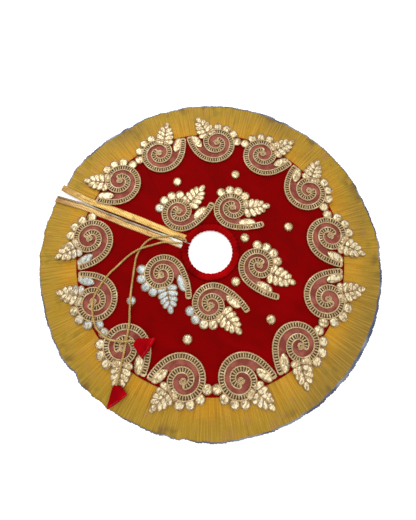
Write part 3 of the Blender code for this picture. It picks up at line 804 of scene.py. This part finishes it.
# The frill. A long strip of gold tissue, woven with metal thread, is gathered into fine pleats
# and sewn in under the velvet's edge. Its rim is turned under with a grey-blue edge thread.
PLEATS = 420
COLUMNS_PER_PLEAT = 5
PLEAT_HEIGHT = 0.0009
FRILL_THICKNESS = 0.00045
FRILL_LIFT = 0.0021
HEADER_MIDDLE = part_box("frill_main")[0].z + 0.0018


def pleat(angle):
    """A knife pleat's height, from 0 to 1: a long rise and a short fall, a little uneven."""
    wander = 0.9 * noise.noise(Vector((math.cos(angle) * 9, math.sin(angle) * 9, 5.0)))
    share = (angle / math.tau * PLEATS + wander) % 1.0
    return share / 0.7 if share < 0.7 else (1 - share) / 0.3


def frill_shape(angle, flat):
    share = min(1.0, max(0.0, (flat - VELVET_EDGE) / (RIM - VELVET_EDGE)))
    around = Vector((math.cos(angle), math.sin(angle), 0))
    opened = min(1.0, share / 0.10)
    depth = PLEAT_HEIGHT * opened * (0.75 + 0.5 * noise.noise(around * 14))
    broad = noise.noise(around * 6 + Vector((0, 0, 3)))
    billow = 0.0007 * share * broad + 0.0016 * share**3 * (0.5 + 0.5 * broad)
    near_slit = math.exp(-(((math.pi - abs(angle)) - 0.20) / 0.13) ** 2) if angle > 0 else 0.0
    deep = 0.0016 * near_slit * share * math.sin(angle * 62)
    if flat < VELVET_EDGE + 0.0005:
        height = HEADER_MIDDLE
    else:
        height = FRILL_LIFT + 0.0007 * opened + depth * pleat(angle) + billow + deep
    scallop = 0.0012 + 0.0026 * noise.noise(around * 4.5)
    scallop += 0.0026 * noise.noise(around * 17) + 0.0012 * noise.noise(around * 60)
    pulled = 0.008 * math.exp(-(((math.pi - angle) / 0.09) ** 2)) if angle > 0 else 0.0
    notch = pulled + 0.004 * math.exp(-(((angle + 2.03) / 0.03) ** 2))
    radius = flat - share**2 * (max(0.0, scallop) + 0.0006 * (1 - pleat(angle)) + notch)
    return radius, height


def frill_finish():
    """Gold tissue: orange-gold at the seam, greyer and shot with green and pink near the rim, with painted
    shade in broad patches toward the rim and painted highlights and shade along the pleats.
    """
    finish = Finish("gold_tissue")
    uv = finish.uv()
    pleat_relief_and_light = finish.cloud(1.0, 3, uv, (520, 14, 1))
    thread = finish.cloud(1.0, 2, uv, (1300, 1300, 1))
    weft = finish.waves("Y", uv, 170, Distortion=2, Detail=1)
    outward = finish.part(uv, 1)
    patches = finish.cloud(15, 3)
    to_rim = finish.masked(outward + 0.035 * (patches - 0.5), VELVET_EDGE + 0.004, RIM - 0.010)
    colour = finish.mix(to_rim, linear(200, 142, 8), linear(168, 134, 28))
    colour = finish.patched(colour, patches, 0.42, 0.62, linear(178, 136, 32), 0.45)
    shot = finish.cloud(48, 2)
    colour = finish.patched(colour, shot, 0.56, 0.70, linear(166, 116, 78), to_rim * 0.4)
    colour = finish.patched(colour, 1 - shot, 0.56, 0.70, linear(116, 112, 36), to_rim * 0.5)
    shaded = finish.cloud(5, 2)
    colour = finish.patched(colour, shaded, 0.48, 0.62, linear(124, 98, 44), to_rim * 0.5)
    # Painted highlight and painted shade: lighter and darker streaks along the pleats, where the gathers'
    # ridges and hollows catch and lose the light.
    colour = finish.patched(colour, pleat_relief_and_light, 0.46, 0.66, linear(222, 180, 82), 0.30)
    colour = finish.patched(colour, 1 - pleat_relief_and_light, 0.52, 0.70, linear(104, 74, 12), 0.35)
    colour = finish.mix(weft * 0.40, colour, linear(104, 74, 12))
    # Darker brown patches in the last few centimetres before the rim.
    dark_rim_patches = finish.masked(finish.cloud(26, 3), 0.54, 0.68) * finish.masked(outward, RIM - 0.026, RIM - 0.004)
    colour = finish.mix(dark_rim_patches * 0.6, colour, linear(84, 64, 36))
    edge = finish.masked(outward + 0.012 * (shaded - 0.5), RIM - 0.0040, RIM - 0.0020)
    edge_thread = finish.patched(linear(74, 84, 112), patches, 0.42, 0.60, linear(142, 146, 158))
    colour = finish.mix(edge, colour, edge_thread)
    height = 1.6 * pleat_relief_and_light + 0.8 * thread + 0.5 * weft
    return finish.shade(
        Base_Color=colour,
        Roughness=0.50 + 0.25 * thread,
        Metallic=0.12,
        Specular_IOR_Level=0.25,
        Normal=finish.bump(height, 0.0004, 0.6),
    )


add_ring(
    "frill",
    [VELVET_EDGE - 0.010, VELVET_EDGE] + spread(VELVET_EDGE + 0.0012, RIM - 0.0005, 13),
    PLEATS * COLUMNS_PER_PLEAT,
    frill_shape,
    FRILL_THICKNESS,
    frill_finish(),
    "gold_tissue",
    0.0015,
    1.25,
)


# The slit's ribbons. Ribbed gold ribbon binds both sides of the slit, out over the frill to its
# rim. On the lower side a narrow silver ribbon lies between the gold one and the slit.
RIBBON_THICKNESS = 0.0007
RIB_PITCH = 0.0030
FRILL_FLAT = 0.282
RIBBON_ROWS = 420
UPPER_WIDTH = 0.0118
SILVER_WIDTH = 0.0036
SILVER_NECK_EXTRA = 0.0085
LOWER_WIDTH = 0.0095


def ribbon_mesh(inset, width, side, neck_extra, columns=8):
    """One ribbon on a side of the slit: a ribbed strip whose far edge is serrated."""
    bm = bmesh.new()
    inner = NECK_RADIUS - 0.0015
    outer = RIM - 0.0024
    uv = bm.loops.layers.uv.new("UVMap")
    bmesh.ops.create_grid(bm, x_segments=RIBBON_ROWS, y_segments=columns, size=0.5)
    for face in bm.faces:
        for loop in face.loops:
            along = inner + (loop.vert.co.x + 0.5) * (outer - inner)
            loop[uv].uv = (along, (loop.vert.co.y + 0.5) * width)
    for vert in bm.verts:
        along = inner + (vert.co.x + 0.5) * (outer - inner)
        across = vert.co.y + 0.5
        rib = math.sin(math.tau * along / RIB_PITCH)
        wide = width + neck_extra * max(0.0, 1 - (along - inner) / 0.024)
        parted = 0.0010 * max(0.0, 1 - ((along - 0.16) / 0.075) ** 2)
        y = seen_half_gap(along, 0.0007 + parted) + inset + across * wide
        y += 0.0005 * rib * max(0.0, across - 0.75) * 4
        y += 0.0005 * noise.noise(Vector((along * 40, side * 3.0, 1.0)))
        rise = max(0.0, (along - FRILL_FLAT) / (outer - FRILL_FLAT))
        wavy = 0.00025 * noise.noise(Vector((along * 60, across * 2, side * 5.0)))
        height = VELVET_TOP + 0.0010 + (0.0005 if neck_extra else 0.0)
        height += 0.0013 * rise + 0.00016 * rib + wavy + 0.0003 * math.sin(math.pi * across)
        vert.co = (-along, side * y, height + lie(-along, side * y))
    return face_up(bm)


def ribbon_finish(name, colours, neck_end):
    """Flat metal ribbon: fine ribs across, with lengthwise stripes that catch the light."""
    dark, plain, bright, neck_colour = tones_of(colours)
    finish = Finish(name)
    uv = finish.uv()
    ribs = finish.waves("X", uv, 0.314 / RIB_PITCH)
    stripe = finish.cloud(1.0, 2, uv, (22, 700, 1))
    wear_and_glint = finish.cloud(60, 3)
    outward = finish.part(uv, 0)
    colour = finish.patched(plain, stripe, 0.40, 0.62, bright)
    colour = finish.patched(colour, wear_and_glint, 0.52, 0.70, dark, 0.6)
    colour = finish.mix(ribs * 0.45, colour, dark)
    over_frill = finish.masked(outward, VELVET_EDGE - 0.01, RIM) * 0.55
    colour = finish.mix(over_frill, colour, dark)
    colour = finish.patched(neck_colour, outward, NECK_RADIUS, neck_end, colour)
    return finish.shade(
        Base_Color=colour,
        Roughness=0.34 + 0.25 * wear_and_glint,
        Metallic=0.35,
        Normal=finish.bump(ribs + 2 * stripe, 0.0003, 0.7),
    )


gold_ribbon = ribbon_finish(
    "gold_ribbon", ((128, 84, 24), (204, 156, 68), (240, 208, 122), (206, 160, 74)), 0.07
)
lower_ribbon = ribbon_finish(
    "lower_gold_ribbon", ((128, 84, 34), (196, 148, 76), (226, 192, 122), (206, 178, 132)), 0.10
)
silver_ribbon = ribbon_finish(
    "silver_ribbon", ((98, 80, 56), (146, 126, 94), (184, 168, 138), (216, 216, 208)), 0.12
)
upper_mesh = ribbon_mesh(0.0, UPPER_WIDTH, 1, 0.0)
upper_ribbon = finished("slit_ribbon_gold_upper", thicken(upper_mesh, RIBBON_THICKNESS), [gold_ribbon])
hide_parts("slit_ribbon_upper", "slit_ribbon_upper_neck")
fold_with_front(upper_ribbon)
for ribbon_name, node, finish, slot, *across in (
    ("silver", "slit_strip_silver", silver_ribbon, "silver_ribbon", 0.0, SILVER_WIDTH, SILVER_NECK_EXTRA),
    ("gold_lower", "slit_ribbon_lower", lower_ribbon, "gold_ribbon", SILVER_WIDTH, LOWER_WIDTH, 0.0),
):
    inset, width, extra = across
    strip = thicken(ribbon_mesh(inset, width, -1, extra, 6), RIBBON_THICKNESS)
    settle(finished("slit_ribbon_" + ribbon_name, strip, [finish]), "skirt", slot, node)


# The rose cloth under each motif, cut to the spiral's outer turn and sewn down by the braid.
TRIM_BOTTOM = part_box("outer_motif_01_gota")[0].z
PATCH_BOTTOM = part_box("outer_motif_01_patch")[0].z
PATCH_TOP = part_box("outer_motif_01_patch")[1].z
BRAID_WIDTH = 0.0115
OUTER_BRAID = {"tail_angle": 7.0, "edge": 0.05155, "flare": 0.0076, "flare_turn": 60.0}
INNER_BRAID = {"tail_angle": 18.0, "edge": 0.04625, "flare": 0.0210, "flare_turn": 75.0}
SPIRAL_RATE = 0.00225
CURL_START = 498.0
CURL_TURN = 178.0
CURL_DEPTH = 0.0058
BRAID_TURN = 610.0
PATCH_START = 26
PATCH_STEPS = 72
OUTER_MOTIF_RADIUS = VELVET_EDGE - 0.021
OUTER_MOTIF_COUNT = 13
FIRST_MOTIF_ANGLE = 164.4
MOTIF_ANGLE_STEP = 27.3
MOTIF_PAIR_SHIFT = 1.3
# Distance from the hole's centre, angle on the skirt, tilt, and whether it is mirrored.
INNER_MOTIFS = {
    "a": (0.0940, 149.0, -42.0, False),
    "b": (0.0920, 85.1, -22.5, False),
    "c": (0.0895, 5.4, 26.0, False),
    "d": (0.0930, -67.7, 9.0, True),
    "e": (0.0945, -132.3, 43.0, True),
}


def polar(radius, degrees):
    angle = math.radians(degrees)
    return radius * math.cos(angle), radius * math.sin(angle)


def braid_radius(shape, turn):
    """The braid's middle line: a spiral that flares into a tail and curls in at its centre."""
    radius = (shape["edge"] - BRAID_WIDTH / 2) * math.exp(-SPIRAL_RATE * turn)
    radius += shape["flare"] * max(0.0, 1 - turn / shape["flare_turn"]) ** 3
    return radius - CURL_DEPTH * max(0.0, turn - CURL_START) / CURL_TURN


def braid_point(shape, turn, offset=0.0):
    """A point on the braid, offset to its outer side."""
    here = Vector(polar(braid_radius(shape, turn), shape["tail_angle"] - turn))
    ahead = Vector(polar(braid_radius(shape, turn + 1), shape["tail_angle"] - turn - 1))
    along = (ahead - here).normalized()
    return (here + Vector((-along.y, along.x)) * offset).to_3d()


def motif_places():
    """Each motif's name, braid, body and place on the skirt."""
    made = []
    for number in range(1, OUTER_MOTIF_COUNT + 1):
        mirrored = number % 2 == 1
        shift = -MOTIF_PAIR_SHIFT if mirrored else MOTIF_PAIR_SHIFT
        angle = FIRST_MOTIF_ANGLE - MOTIF_ANGLE_STEP * (number - 1) + shift
        body = "front_strip" if number == 1 else "skirt"
        place = (OUTER_MOTIF_RADIUS, angle, 0.0, mirrored)
        made.append((f"outer_motif_{number:02d}", OUTER_BRAID, body, place))
    for letter, place in INNER_MOTIFS.items():
        made.append((f"inner_motif_{letter}", INNER_BRAID, "skirt", place))
    return made


def laid(bm):
    for vert in bm.verts:
        vert.co.z += lie(vert.co.x, vert.co.y)
    return bm


def sewn_copy(source, place):
    """A copy of a motif's mesh, turned and mirrored into its place, lying as the velvet lies."""
    radius, angle, tilt, mirrored = place
    bm = source.copy()
    turn = Matrix.Rotation(math.radians(angle + tilt - 90), 4, "Z")
    matrix = Matrix.Translation((*polar(radius, angle), 0)) @ turn
    if mirrored:
        matrix = matrix @ Matrix.Diagonal((-1, 1, 1, 1))
        bmesh.ops.reverse_faces(bm, faces=bm.faces)
    bmesh.ops.transform(bm, matrix=matrix, verts=bm.verts)
    return laid(bm)


def patch_mesh(shape):
    bm = bmesh.new()
    turns = [PATCH_START + 360 * step / PATCH_STEPS for step in range(PATCH_STEPS + 1)]
    outline = [braid_point(shape, turn, -0.0006) for turn in turns]
    face = bm.faces.new([bm.verts.new((x, y, PATCH_TOP)) for x, y, z in outline])
    face_up(bm)
    bmesh.ops.inset_region(bm, faces=[face], thickness=0.003, depth=0.00012)
    grown = bmesh.ops.extrude_face_region(bm, geom=list(bm.faces))["geom"]
    raised = [item for item in grown if isinstance(item, bmesh.types.BMVert)]
    low = [vert for vert in bm.verts if vert not in set(raised)]
    for vert in low:
        vert.co.z = PATCH_BOTTOM
    bmesh.ops.recalc_face_normals(bm, faces=bm.faces)
    bmesh.ops.triangulate(bm, faces=[f for f in bm.faces if len(f.verts) > 4])
    return bm


def rose_finish():
    finish = Finish("rose_cloth")
    weave = finish.cloud(1600, 1)
    wear_and_glint = finish.cloud(55, 3)
    colour = finish.patched(linear(124, 54, 44), wear_and_glint, 0.36, 0.64, linear(152, 84, 70))
    return finish.shade(
        Base_Color=colour,
        Roughness=0.7,
        Specular_IOR_Level=0.2,
        Normal=finish.bump(weave + wear_and_glint, 0.0002, 0.4),
    )


rose_material = rose_finish()
patch_meshes = {id(shape): patch_mesh(shape) for shape in (OUTER_BRAID, INNER_BRAID)}
for motif_name, shape, body, place in motif_places():
    source = patch_meshes[id(shape)]
    patch = finished(motif_name + "_rose_patch", sewn_copy(source, place), [rose_material], False)
    area_of(source) / 2
    settle(patch, body, "rose_cloth", motif_name + "_patch")


# The motifs' gota work. A ladder braid of two scalloped cords over a dark net is laid in a spiral,
# folded foil discs and petals are sewn round it, and a cord outlines each of them.
RUNG_PITCH = 0.0043
BRAID_SPACING = 0.0009
BORDER_RADIUS = 0.0008
BORDER_HEIGHT = 0.0009
FOIL_FOOT = 0.0001
MOTIF_DISCS = 4
FIRST_DISC_ANGLE = 173.5
DISC_ANGLE_STEP = 26.7
CROOK_PETAL_PLACE = (0.0385, 0.0005, 48)
CROOK_PETAL_SIZE = (0.0295, 0.0142)
BUTTON_STEPS = 96
EDGE_CORD_RADIUS = 0.00135
DISC_RADIUS = 0.0068
SEWN_DISC_RADIUS = 0.0078
SEWN_OVERLAP = 0.0015
THREAD, NET, FOIL, OUTLINE = range(4)


def at_angle(x, y, degrees, height=0.0):
    return Matrix.Translation((x, y, height)) @ Matrix.Rotation(math.radians(degrees), 4, "Z")


def add_ladder_braid(bm, shape):
    """The dark net, the cord that runs round its two edges, and the rungs over it."""
    fine = [braid_point(shape, BRAID_TURN * step / 900) for step in range(901)]
    middle = evenly(fine, BRAID_SPACING)
    frames = [Matrix.Translation((0, 0, TRIM_BOTTOM)) @ frame for frame in frames_along(middle)]
    net = [(-0.0040, 0.0001), (0.0040, 0.0001), (0.0040, 0.0006), (0.0, 0.0008), (-0.0040, 0.0006)]
    sweep(bm, net, frames[2:-2:2], NET)
    total = length_of(middle)
    rungs = round(total / RUNG_PITCH)
    pitch = total / rungs
    edges = []
    for side in (-1, 1):
        line = []
        for number, frame in enumerate(frames):
            bulge = abs(math.sin(math.pi * number * BRAID_SPACING / pitch))
            reach = BRAID_WIDTH / 2 - EDGE_CORD_RADIUS - 0.0001 + 0.00055 * (bulge - 0.6)
            line.append(frame @ Vector((side * reach, EDGE_CORD_RADIUS, 0)))
        edges.append(line)
    ends = []
    for frame, start in ((frames[0], -1), (frames[-1], 1)):
        reach = BRAID_WIDTH / 2 - EDGE_CORD_RADIUS
        arc = []
        for number in range(1, 10):
            turn = math.pi * number / 10
            side = -start * math.cos(turn)
            out = start * 0.0022 * math.sin(turn)
            arc.append(frame @ Vector((side * reach, EDGE_CORD_RADIUS, out)))
        ends.append(arc)
    path = evenly(edges[0] + ends[1][::-1] + edges[1][::-1] + ends[0][::-1] + [edges[0][0]], 0.00105)
    add_thread(bm, path, EDGE_CORD_RADIUS, 6, THREAD, 900, 0.14, 1.9)
    for number in range(rungs):
        frame = frames[min(len(frames) - 1, round(number * pitch / BRAID_SPACING))]
        lean = 0.0003 * math.sin(number * 2.3)
        reach = BRAID_WIDTH / 2 - 1.6 * EDGE_CORD_RADIUS
        bar = []
        for step in range(5):
            share = step / 2 - 1
            bar.append(frame @ Vector((share * reach, 0.0008 + 0.0006 * (1 - share**2), lean * share)))
        wide = [(x * 1.25, y * 0.62) for x, y in round_profile(0.00088, 6)]
        sweep(bm, wide, frames_along(bar), THREAD)


def close_foil(bm, grid, place):
    """Gives a crowned sheet of foil its finish, a wall down from its rim and a base."""
    faces = list({face for vert in grid if vert.is_valid for face in vert.link_faces})
    for face in faces:
        face.material_index = FOIL
    rim = list({edge for face in faces for edge in face.edges if len(edge.link_faces) == 1})
    low, under, walls = extruded(bm, rim)
    for vert in low:
        vert.co.z = FOIL_FOOT
    added = walls + bmesh.ops.edgeloop_fill(bm, edges=under)["faces"]
    for face in added:
        face.material_index = OUTLINE
    verts = {vert for face in faces + added for vert in face.verts}
    bmesh.ops.transform(bm, matrix=place, verts=list(verts))


def petal_half(along, width):
    """Half the width of a petal at a share of its length, blunt at one end and sharper at the other."""
    point = abs(along) ** (3.0 if along > 0 else 1.9)
    return width / 2 * max(0.0, 1 - point) ** 0.62


def add_leaf(bm, place, length, width, crown=0.0010, crease=0.0004, steps=(10, 6)):
    """A petal of folded foil ribbon: crowned, creased along its middle, with a cord round it."""
    grid = bmesh.ops.create_grid(bm, x_segments=steps[0], y_segments=steps[1], size=1.0)["verts"]
    for vert in grid:
        along, across = vert.co.x, vert.co.y
        fold = math.exp(-((across / 0.22) ** 2))
        ridge = abs(math.sin(across * 6.0)) * 0.35
        height = crown * (1 - across**2) * (1 - 0.7 * along**2) * (0.75 + ridge)
        height -= crease * fold * (1 - along**2)
        vert.co = (length / 2 * along, petal_half(along, width) * across, BORDER_HEIGHT + height)
    bmesh.ops.remove_doubles(bm, verts=grid, dist=0.00003)
    close_foil(bm, grid, place)
    border = []
    for number in range(31):
        turn = math.tau * number / 30
        along = math.cos(turn)
        half = petal_half(along, width + 0.0006)
        half = math.copysign(half, math.sin(turn)) if abs(math.sin(turn)) > 1e-6 else 0.0
        border.append(place @ Vector(((length / 2 + 0.0003) * along, half, BORDER_RADIUS)))
    add_thread(bm, border, BORDER_RADIUS, 5, OUTLINE, 500, 0.2, 2.4)


def add_disc(bm, place, radius, seed):
    """A disc of foil folded like a fan from its foot at -X, with a looped border of cord."""
    grid = bmesh.ops.create_grid(bm, x_segments=8, y_segments=8, size=1.0)["verts"]
    for vert in grid:
        x, y = vert.co.x, vert.co.y
        across = x * math.sqrt(max(0.0, 1 - y * y / 2))
        along = y * math.sqrt(max(0.0, 1 - x * x / 2))
        reach = math.hypot(across, along)
        fan = math.atan2(along, across + 1.15)
        fold = 0.00034 * math.cos(fan * 7 + seed) * (1 - reach**2)
        lifted = BORDER_HEIGHT + 0.0008 * (1 - reach**2) + fold + 0.0003 * across * math.sin(seed)
        vert.co = (radius * 0.9 * across, radius * 0.9 * along, lifted)
    close_foil(bm, grid, place)
    border = []
    for number in range(49):
        turn = math.tau * number / 48
        loop = radius * 0.93 + 0.0007 * abs(math.sin(turn * 5.5))
        border.append(place @ Vector((loop * math.cos(turn), loop * math.sin(turn), BORDER_HEIGHT)))
    add_thread(bm, border, BORDER_RADIUS, 5, OUTLINE, 500, 0.18, 2.1)


# The spray's petals in pairs along its stem: the foot's distance up the stem, then how far
# along and out from the foot the tip is, and the petal's width. The last stands at the tip.
SPRAY_FOOT = (0.0165, 0.0165)
SPRAY_ANGLE = 57
SPRAY_PAIRS = (
    (0.0010, 0.0040, 0.0172, 0.0106),
    (0.0090, 0.0072, 0.0162, 0.0102),
    (0.0168, 0.0092, 0.0138, 0.0096),
    (0.0240, 0.0104, 0.0100, 0.0084),
)
SPRAY_TIP = (0.0300, 0.0455, 0.0088)


def add_spray(bm):
    """A twig of close, overlapping petals either side of a stem, down to the one at its tip."""
    place = at_angle(*SPRAY_FOOT, SPRAY_ANGLE, TRIM_BOTTOM)
    start, end, width = SPRAY_TIP
    add_leaf(bm, place @ at_angle((start + end) / 2, 0, 0), end - start, width)
    for number, (foot, forward, out, width) in enumerate(SPRAY_PAIRS):
        for side in (-1, 1):
            tip = Vector((foot + forward, side * out))
            root = Vector((foot, side * 0.0006))
            centre = (tip + root) / 2
            turn = math.degrees(math.atan2(tip.y - root.y, tip.x - root.x))
            lift = 0.00012 * (number % 2)
            petal = place @ at_angle(centre.x, centre.y, turn, lift)
            add_leaf(bm, petal, (tip - root).length, width)
    stem = [place @ Vector((0.0005 + 0.0011 * step, 0, 0.0017)) for step in range(30)]
    add_thread(bm, stem, BORDER_RADIUS, 6, OUTLINE, 600)


def add_braid_end(bm):
    """The braid's end, wound to a small button in the middle of the spiral."""
    coil = []
    for number in range(BUTTON_STEPS):
        turn = math.radians(10 * number)
        share = number / (BUTTON_STEPS - 1)
        reach = 0.0058 - 0.0050 * share
        height = TRIM_BOTTOM + 0.0019 + 0.0004 * share
        coil.append(Vector((reach * math.cos(turn), reach * math.sin(turn), height)))
    add_thread(bm, coil, 0.00095, 6, THREAD, 700, 0.25, 2.3)


def gota_mesh(shape, seed):
    """All the gota work of one motif, in the motif's own frame."""
    bm = bmesh.new()
    add_ladder_braid(bm, shape)
    for number in range(MOTIF_DISCS):
        angle = FIRST_DISC_ANGLE - DISC_ANGLE_STEP * number
        outer_edge = braid_radius(shape, shape["tail_angle"] - angle + 360) + BRAID_WIDTH / 2
        x, y = polar(outer_edge + DISC_RADIUS - SEWN_OVERLAP, angle)
        add_disc(bm, at_angle(x, y, angle, TRIM_BOTTOM), SEWN_DISC_RADIUS, seed + number * 1.7)
    crook = at_angle(*CROOK_PETAL_PLACE, TRIM_BOTTOM)
    add_leaf(bm, crook, *CROOK_PETAL_SIZE, 0.0012, 0.0005, (14, 8))
    add_spray(bm)
    add_braid_end(bm)
    bmesh.ops.recalc_face_normals(bm, faces=bm.faces)
    return bm


def metal_thread_finish(name, colours):
    """Beige thread wound with flat metal: bright where it catches the light, dull between."""
    dark, plain, bright = tones_of(colours)
    finish = Finish(name)
    strands = finish.cloud(1100, 2)
    wear_and_glint = finish.cloud(90, 3)
    colour = finish.patched(dark, strands, 0.36, 0.62, plain)
    # Painted highlights: bright patches where the metal would catch the light.
    colour = finish.patched(colour, wear_and_glint, 0.52, 0.72, bright, 0.7)
    return finish.shade(
        Base_Color=colour,
        Roughness=0.40 + 0.3 * strands,
        Metallic=0.3,
        Normal=finish.bump(strands, 0.0003, 0.7),
    )


def net_finish():
    finish = Finish("dark_net")
    holes = finish.cloud(800, 1)
    return finish.shade(
        Base_Color=finish.mix(holes, linear(44, 26, 8), linear(92, 66, 34)),
        Roughness=0.8,
        Normal=finish.bump(holes, 0.0003, 0.6),
    )


# The foil is more silver than gold about this point.
SILVERY = (-0.09, -0.085, 0.0)


def foil_finish():
    """Folded gota ribbon: cream-gold, and silvery or browner in patches, with fine creases darkened by
    painted shade.
    """
    finish = Finish("foil_ribbon")
    ribs = finish.cloud(380, 2, stretch=(1, 0.35, 1))
    patches = finish.cloud(150, 2)
    broad = finish.cloud(9, 1)
    colour = finish.patched(linear(190, 160, 108), ribs, 0.34, 0.60, linear(250, 236, 192))
    colour = finish.patched(colour, patches, 0.52, 0.64, linear(142, 116, 82), 0.8)
    colour = finish.patched(colour, 1 - patches, 0.56, 0.68, linear(206, 206, 198), 0.6)
    shaded_creases = finish.cloud(420, 1, stretch=(1, 0.5, 1))
    # Painted shade: the foil darkens along its fine creases.
    colour = finish.patched(colour, shaded_creases, 0.56, 0.66, linear(112, 90, 62), 0.65)
    apart = {0: finish.place(), 1: SILVERY}
    from_silver = finish.node("ShaderNodeVectorMath", {"operation": "DISTANCE"}, apart, 1)
    silvery = finish.masked(1 - from_silver + 0.10 * (broad - 0.5), 0.855, 0.905)
    colour = finish.mix(silvery * 0.75, colour, linear(154, 172, 184))
    # Painted shade in the creases, darker where the foil is silvery.
    colour = finish.patched(colour, shaded_creases, 0.58, 0.66, linear(82, 70, 62), silvery * 0.6)
    return finish.shade(
        Base_Color=colour,
        Roughness=0.26 + 0.25 * ribs,
        Metallic=0.40,
        Normal=finish.bump(ribs + 0.6 * patches + 0.5 * shaded_creases, 0.0007, 0.9),
    )


gota_materials = [
    metal_thread_finish("gota_thread", ((140, 108, 66), (208, 182, 136), (236, 216, 174))),
    net_finish(),
    foil_finish(),
    metal_thread_finish("outline_cord", ((98, 70, 40), (176, 142, 98), (210, 182, 136))),
]
gota_meshes = {id(shape): gota_mesh(shape, 1.0) for shape in (OUTER_BRAID, INNER_BRAID)}
for motif_name, shape, body, place in motif_places():
    gota = finished(motif_name + "_gota_work", sewn_copy(gota_meshes[id(shape)], place), gota_materials)
    settle(gota, body, "gota", motif_name + "_gota")


# The loose discs, sewn to the velvet between the motifs, each with its thread ends at one side.
# Each has its distance from the hole's centre and its angle on the skirt.
LOOSE_DISCS = (
    (0.1485, 136.4),
    (0.1575, 94.0),
    (0.1493, 39.7),
    (0.0672, 44.0),
    (0.0690, -28.6),
    (0.1552, -27.2),
    (0.1538, -82.6),
    (0.1600, -125.8),
)
for number, (radius, angle) in enumerate(LOOSE_DISCS, 1):
    disc_mesh = bmesh.new()
    x, y = polar(radius, angle)
    turned = at_angle(x, y, angle + 40 * number, PATCH_BOTTOM)
    add_disc(disc_mesh, turned, DISC_RADIUS + 0.0004, number * 2.3)
    for thread_angle in (-84, -54):
        foot = at_angle(x, y, thread_angle, PATCH_BOTTOM + 0.0006)
        thread_end = [foot @ Vector((0.0062 + 0.0011 * step, 0, 0)) for step in range(4)]
        add_thread(disc_mesh, thread_end, 0.00045, 5, OUTLINE)
    bmesh.ops.recalc_face_normals(disc_mesh, faces=disc_mesh.faces)
    disc = finished(f"sewn_disc_{number}", laid(disc_mesh), gota_materials)
    settle(disc, "skirt", "gota", f"loose_disc_{number}")
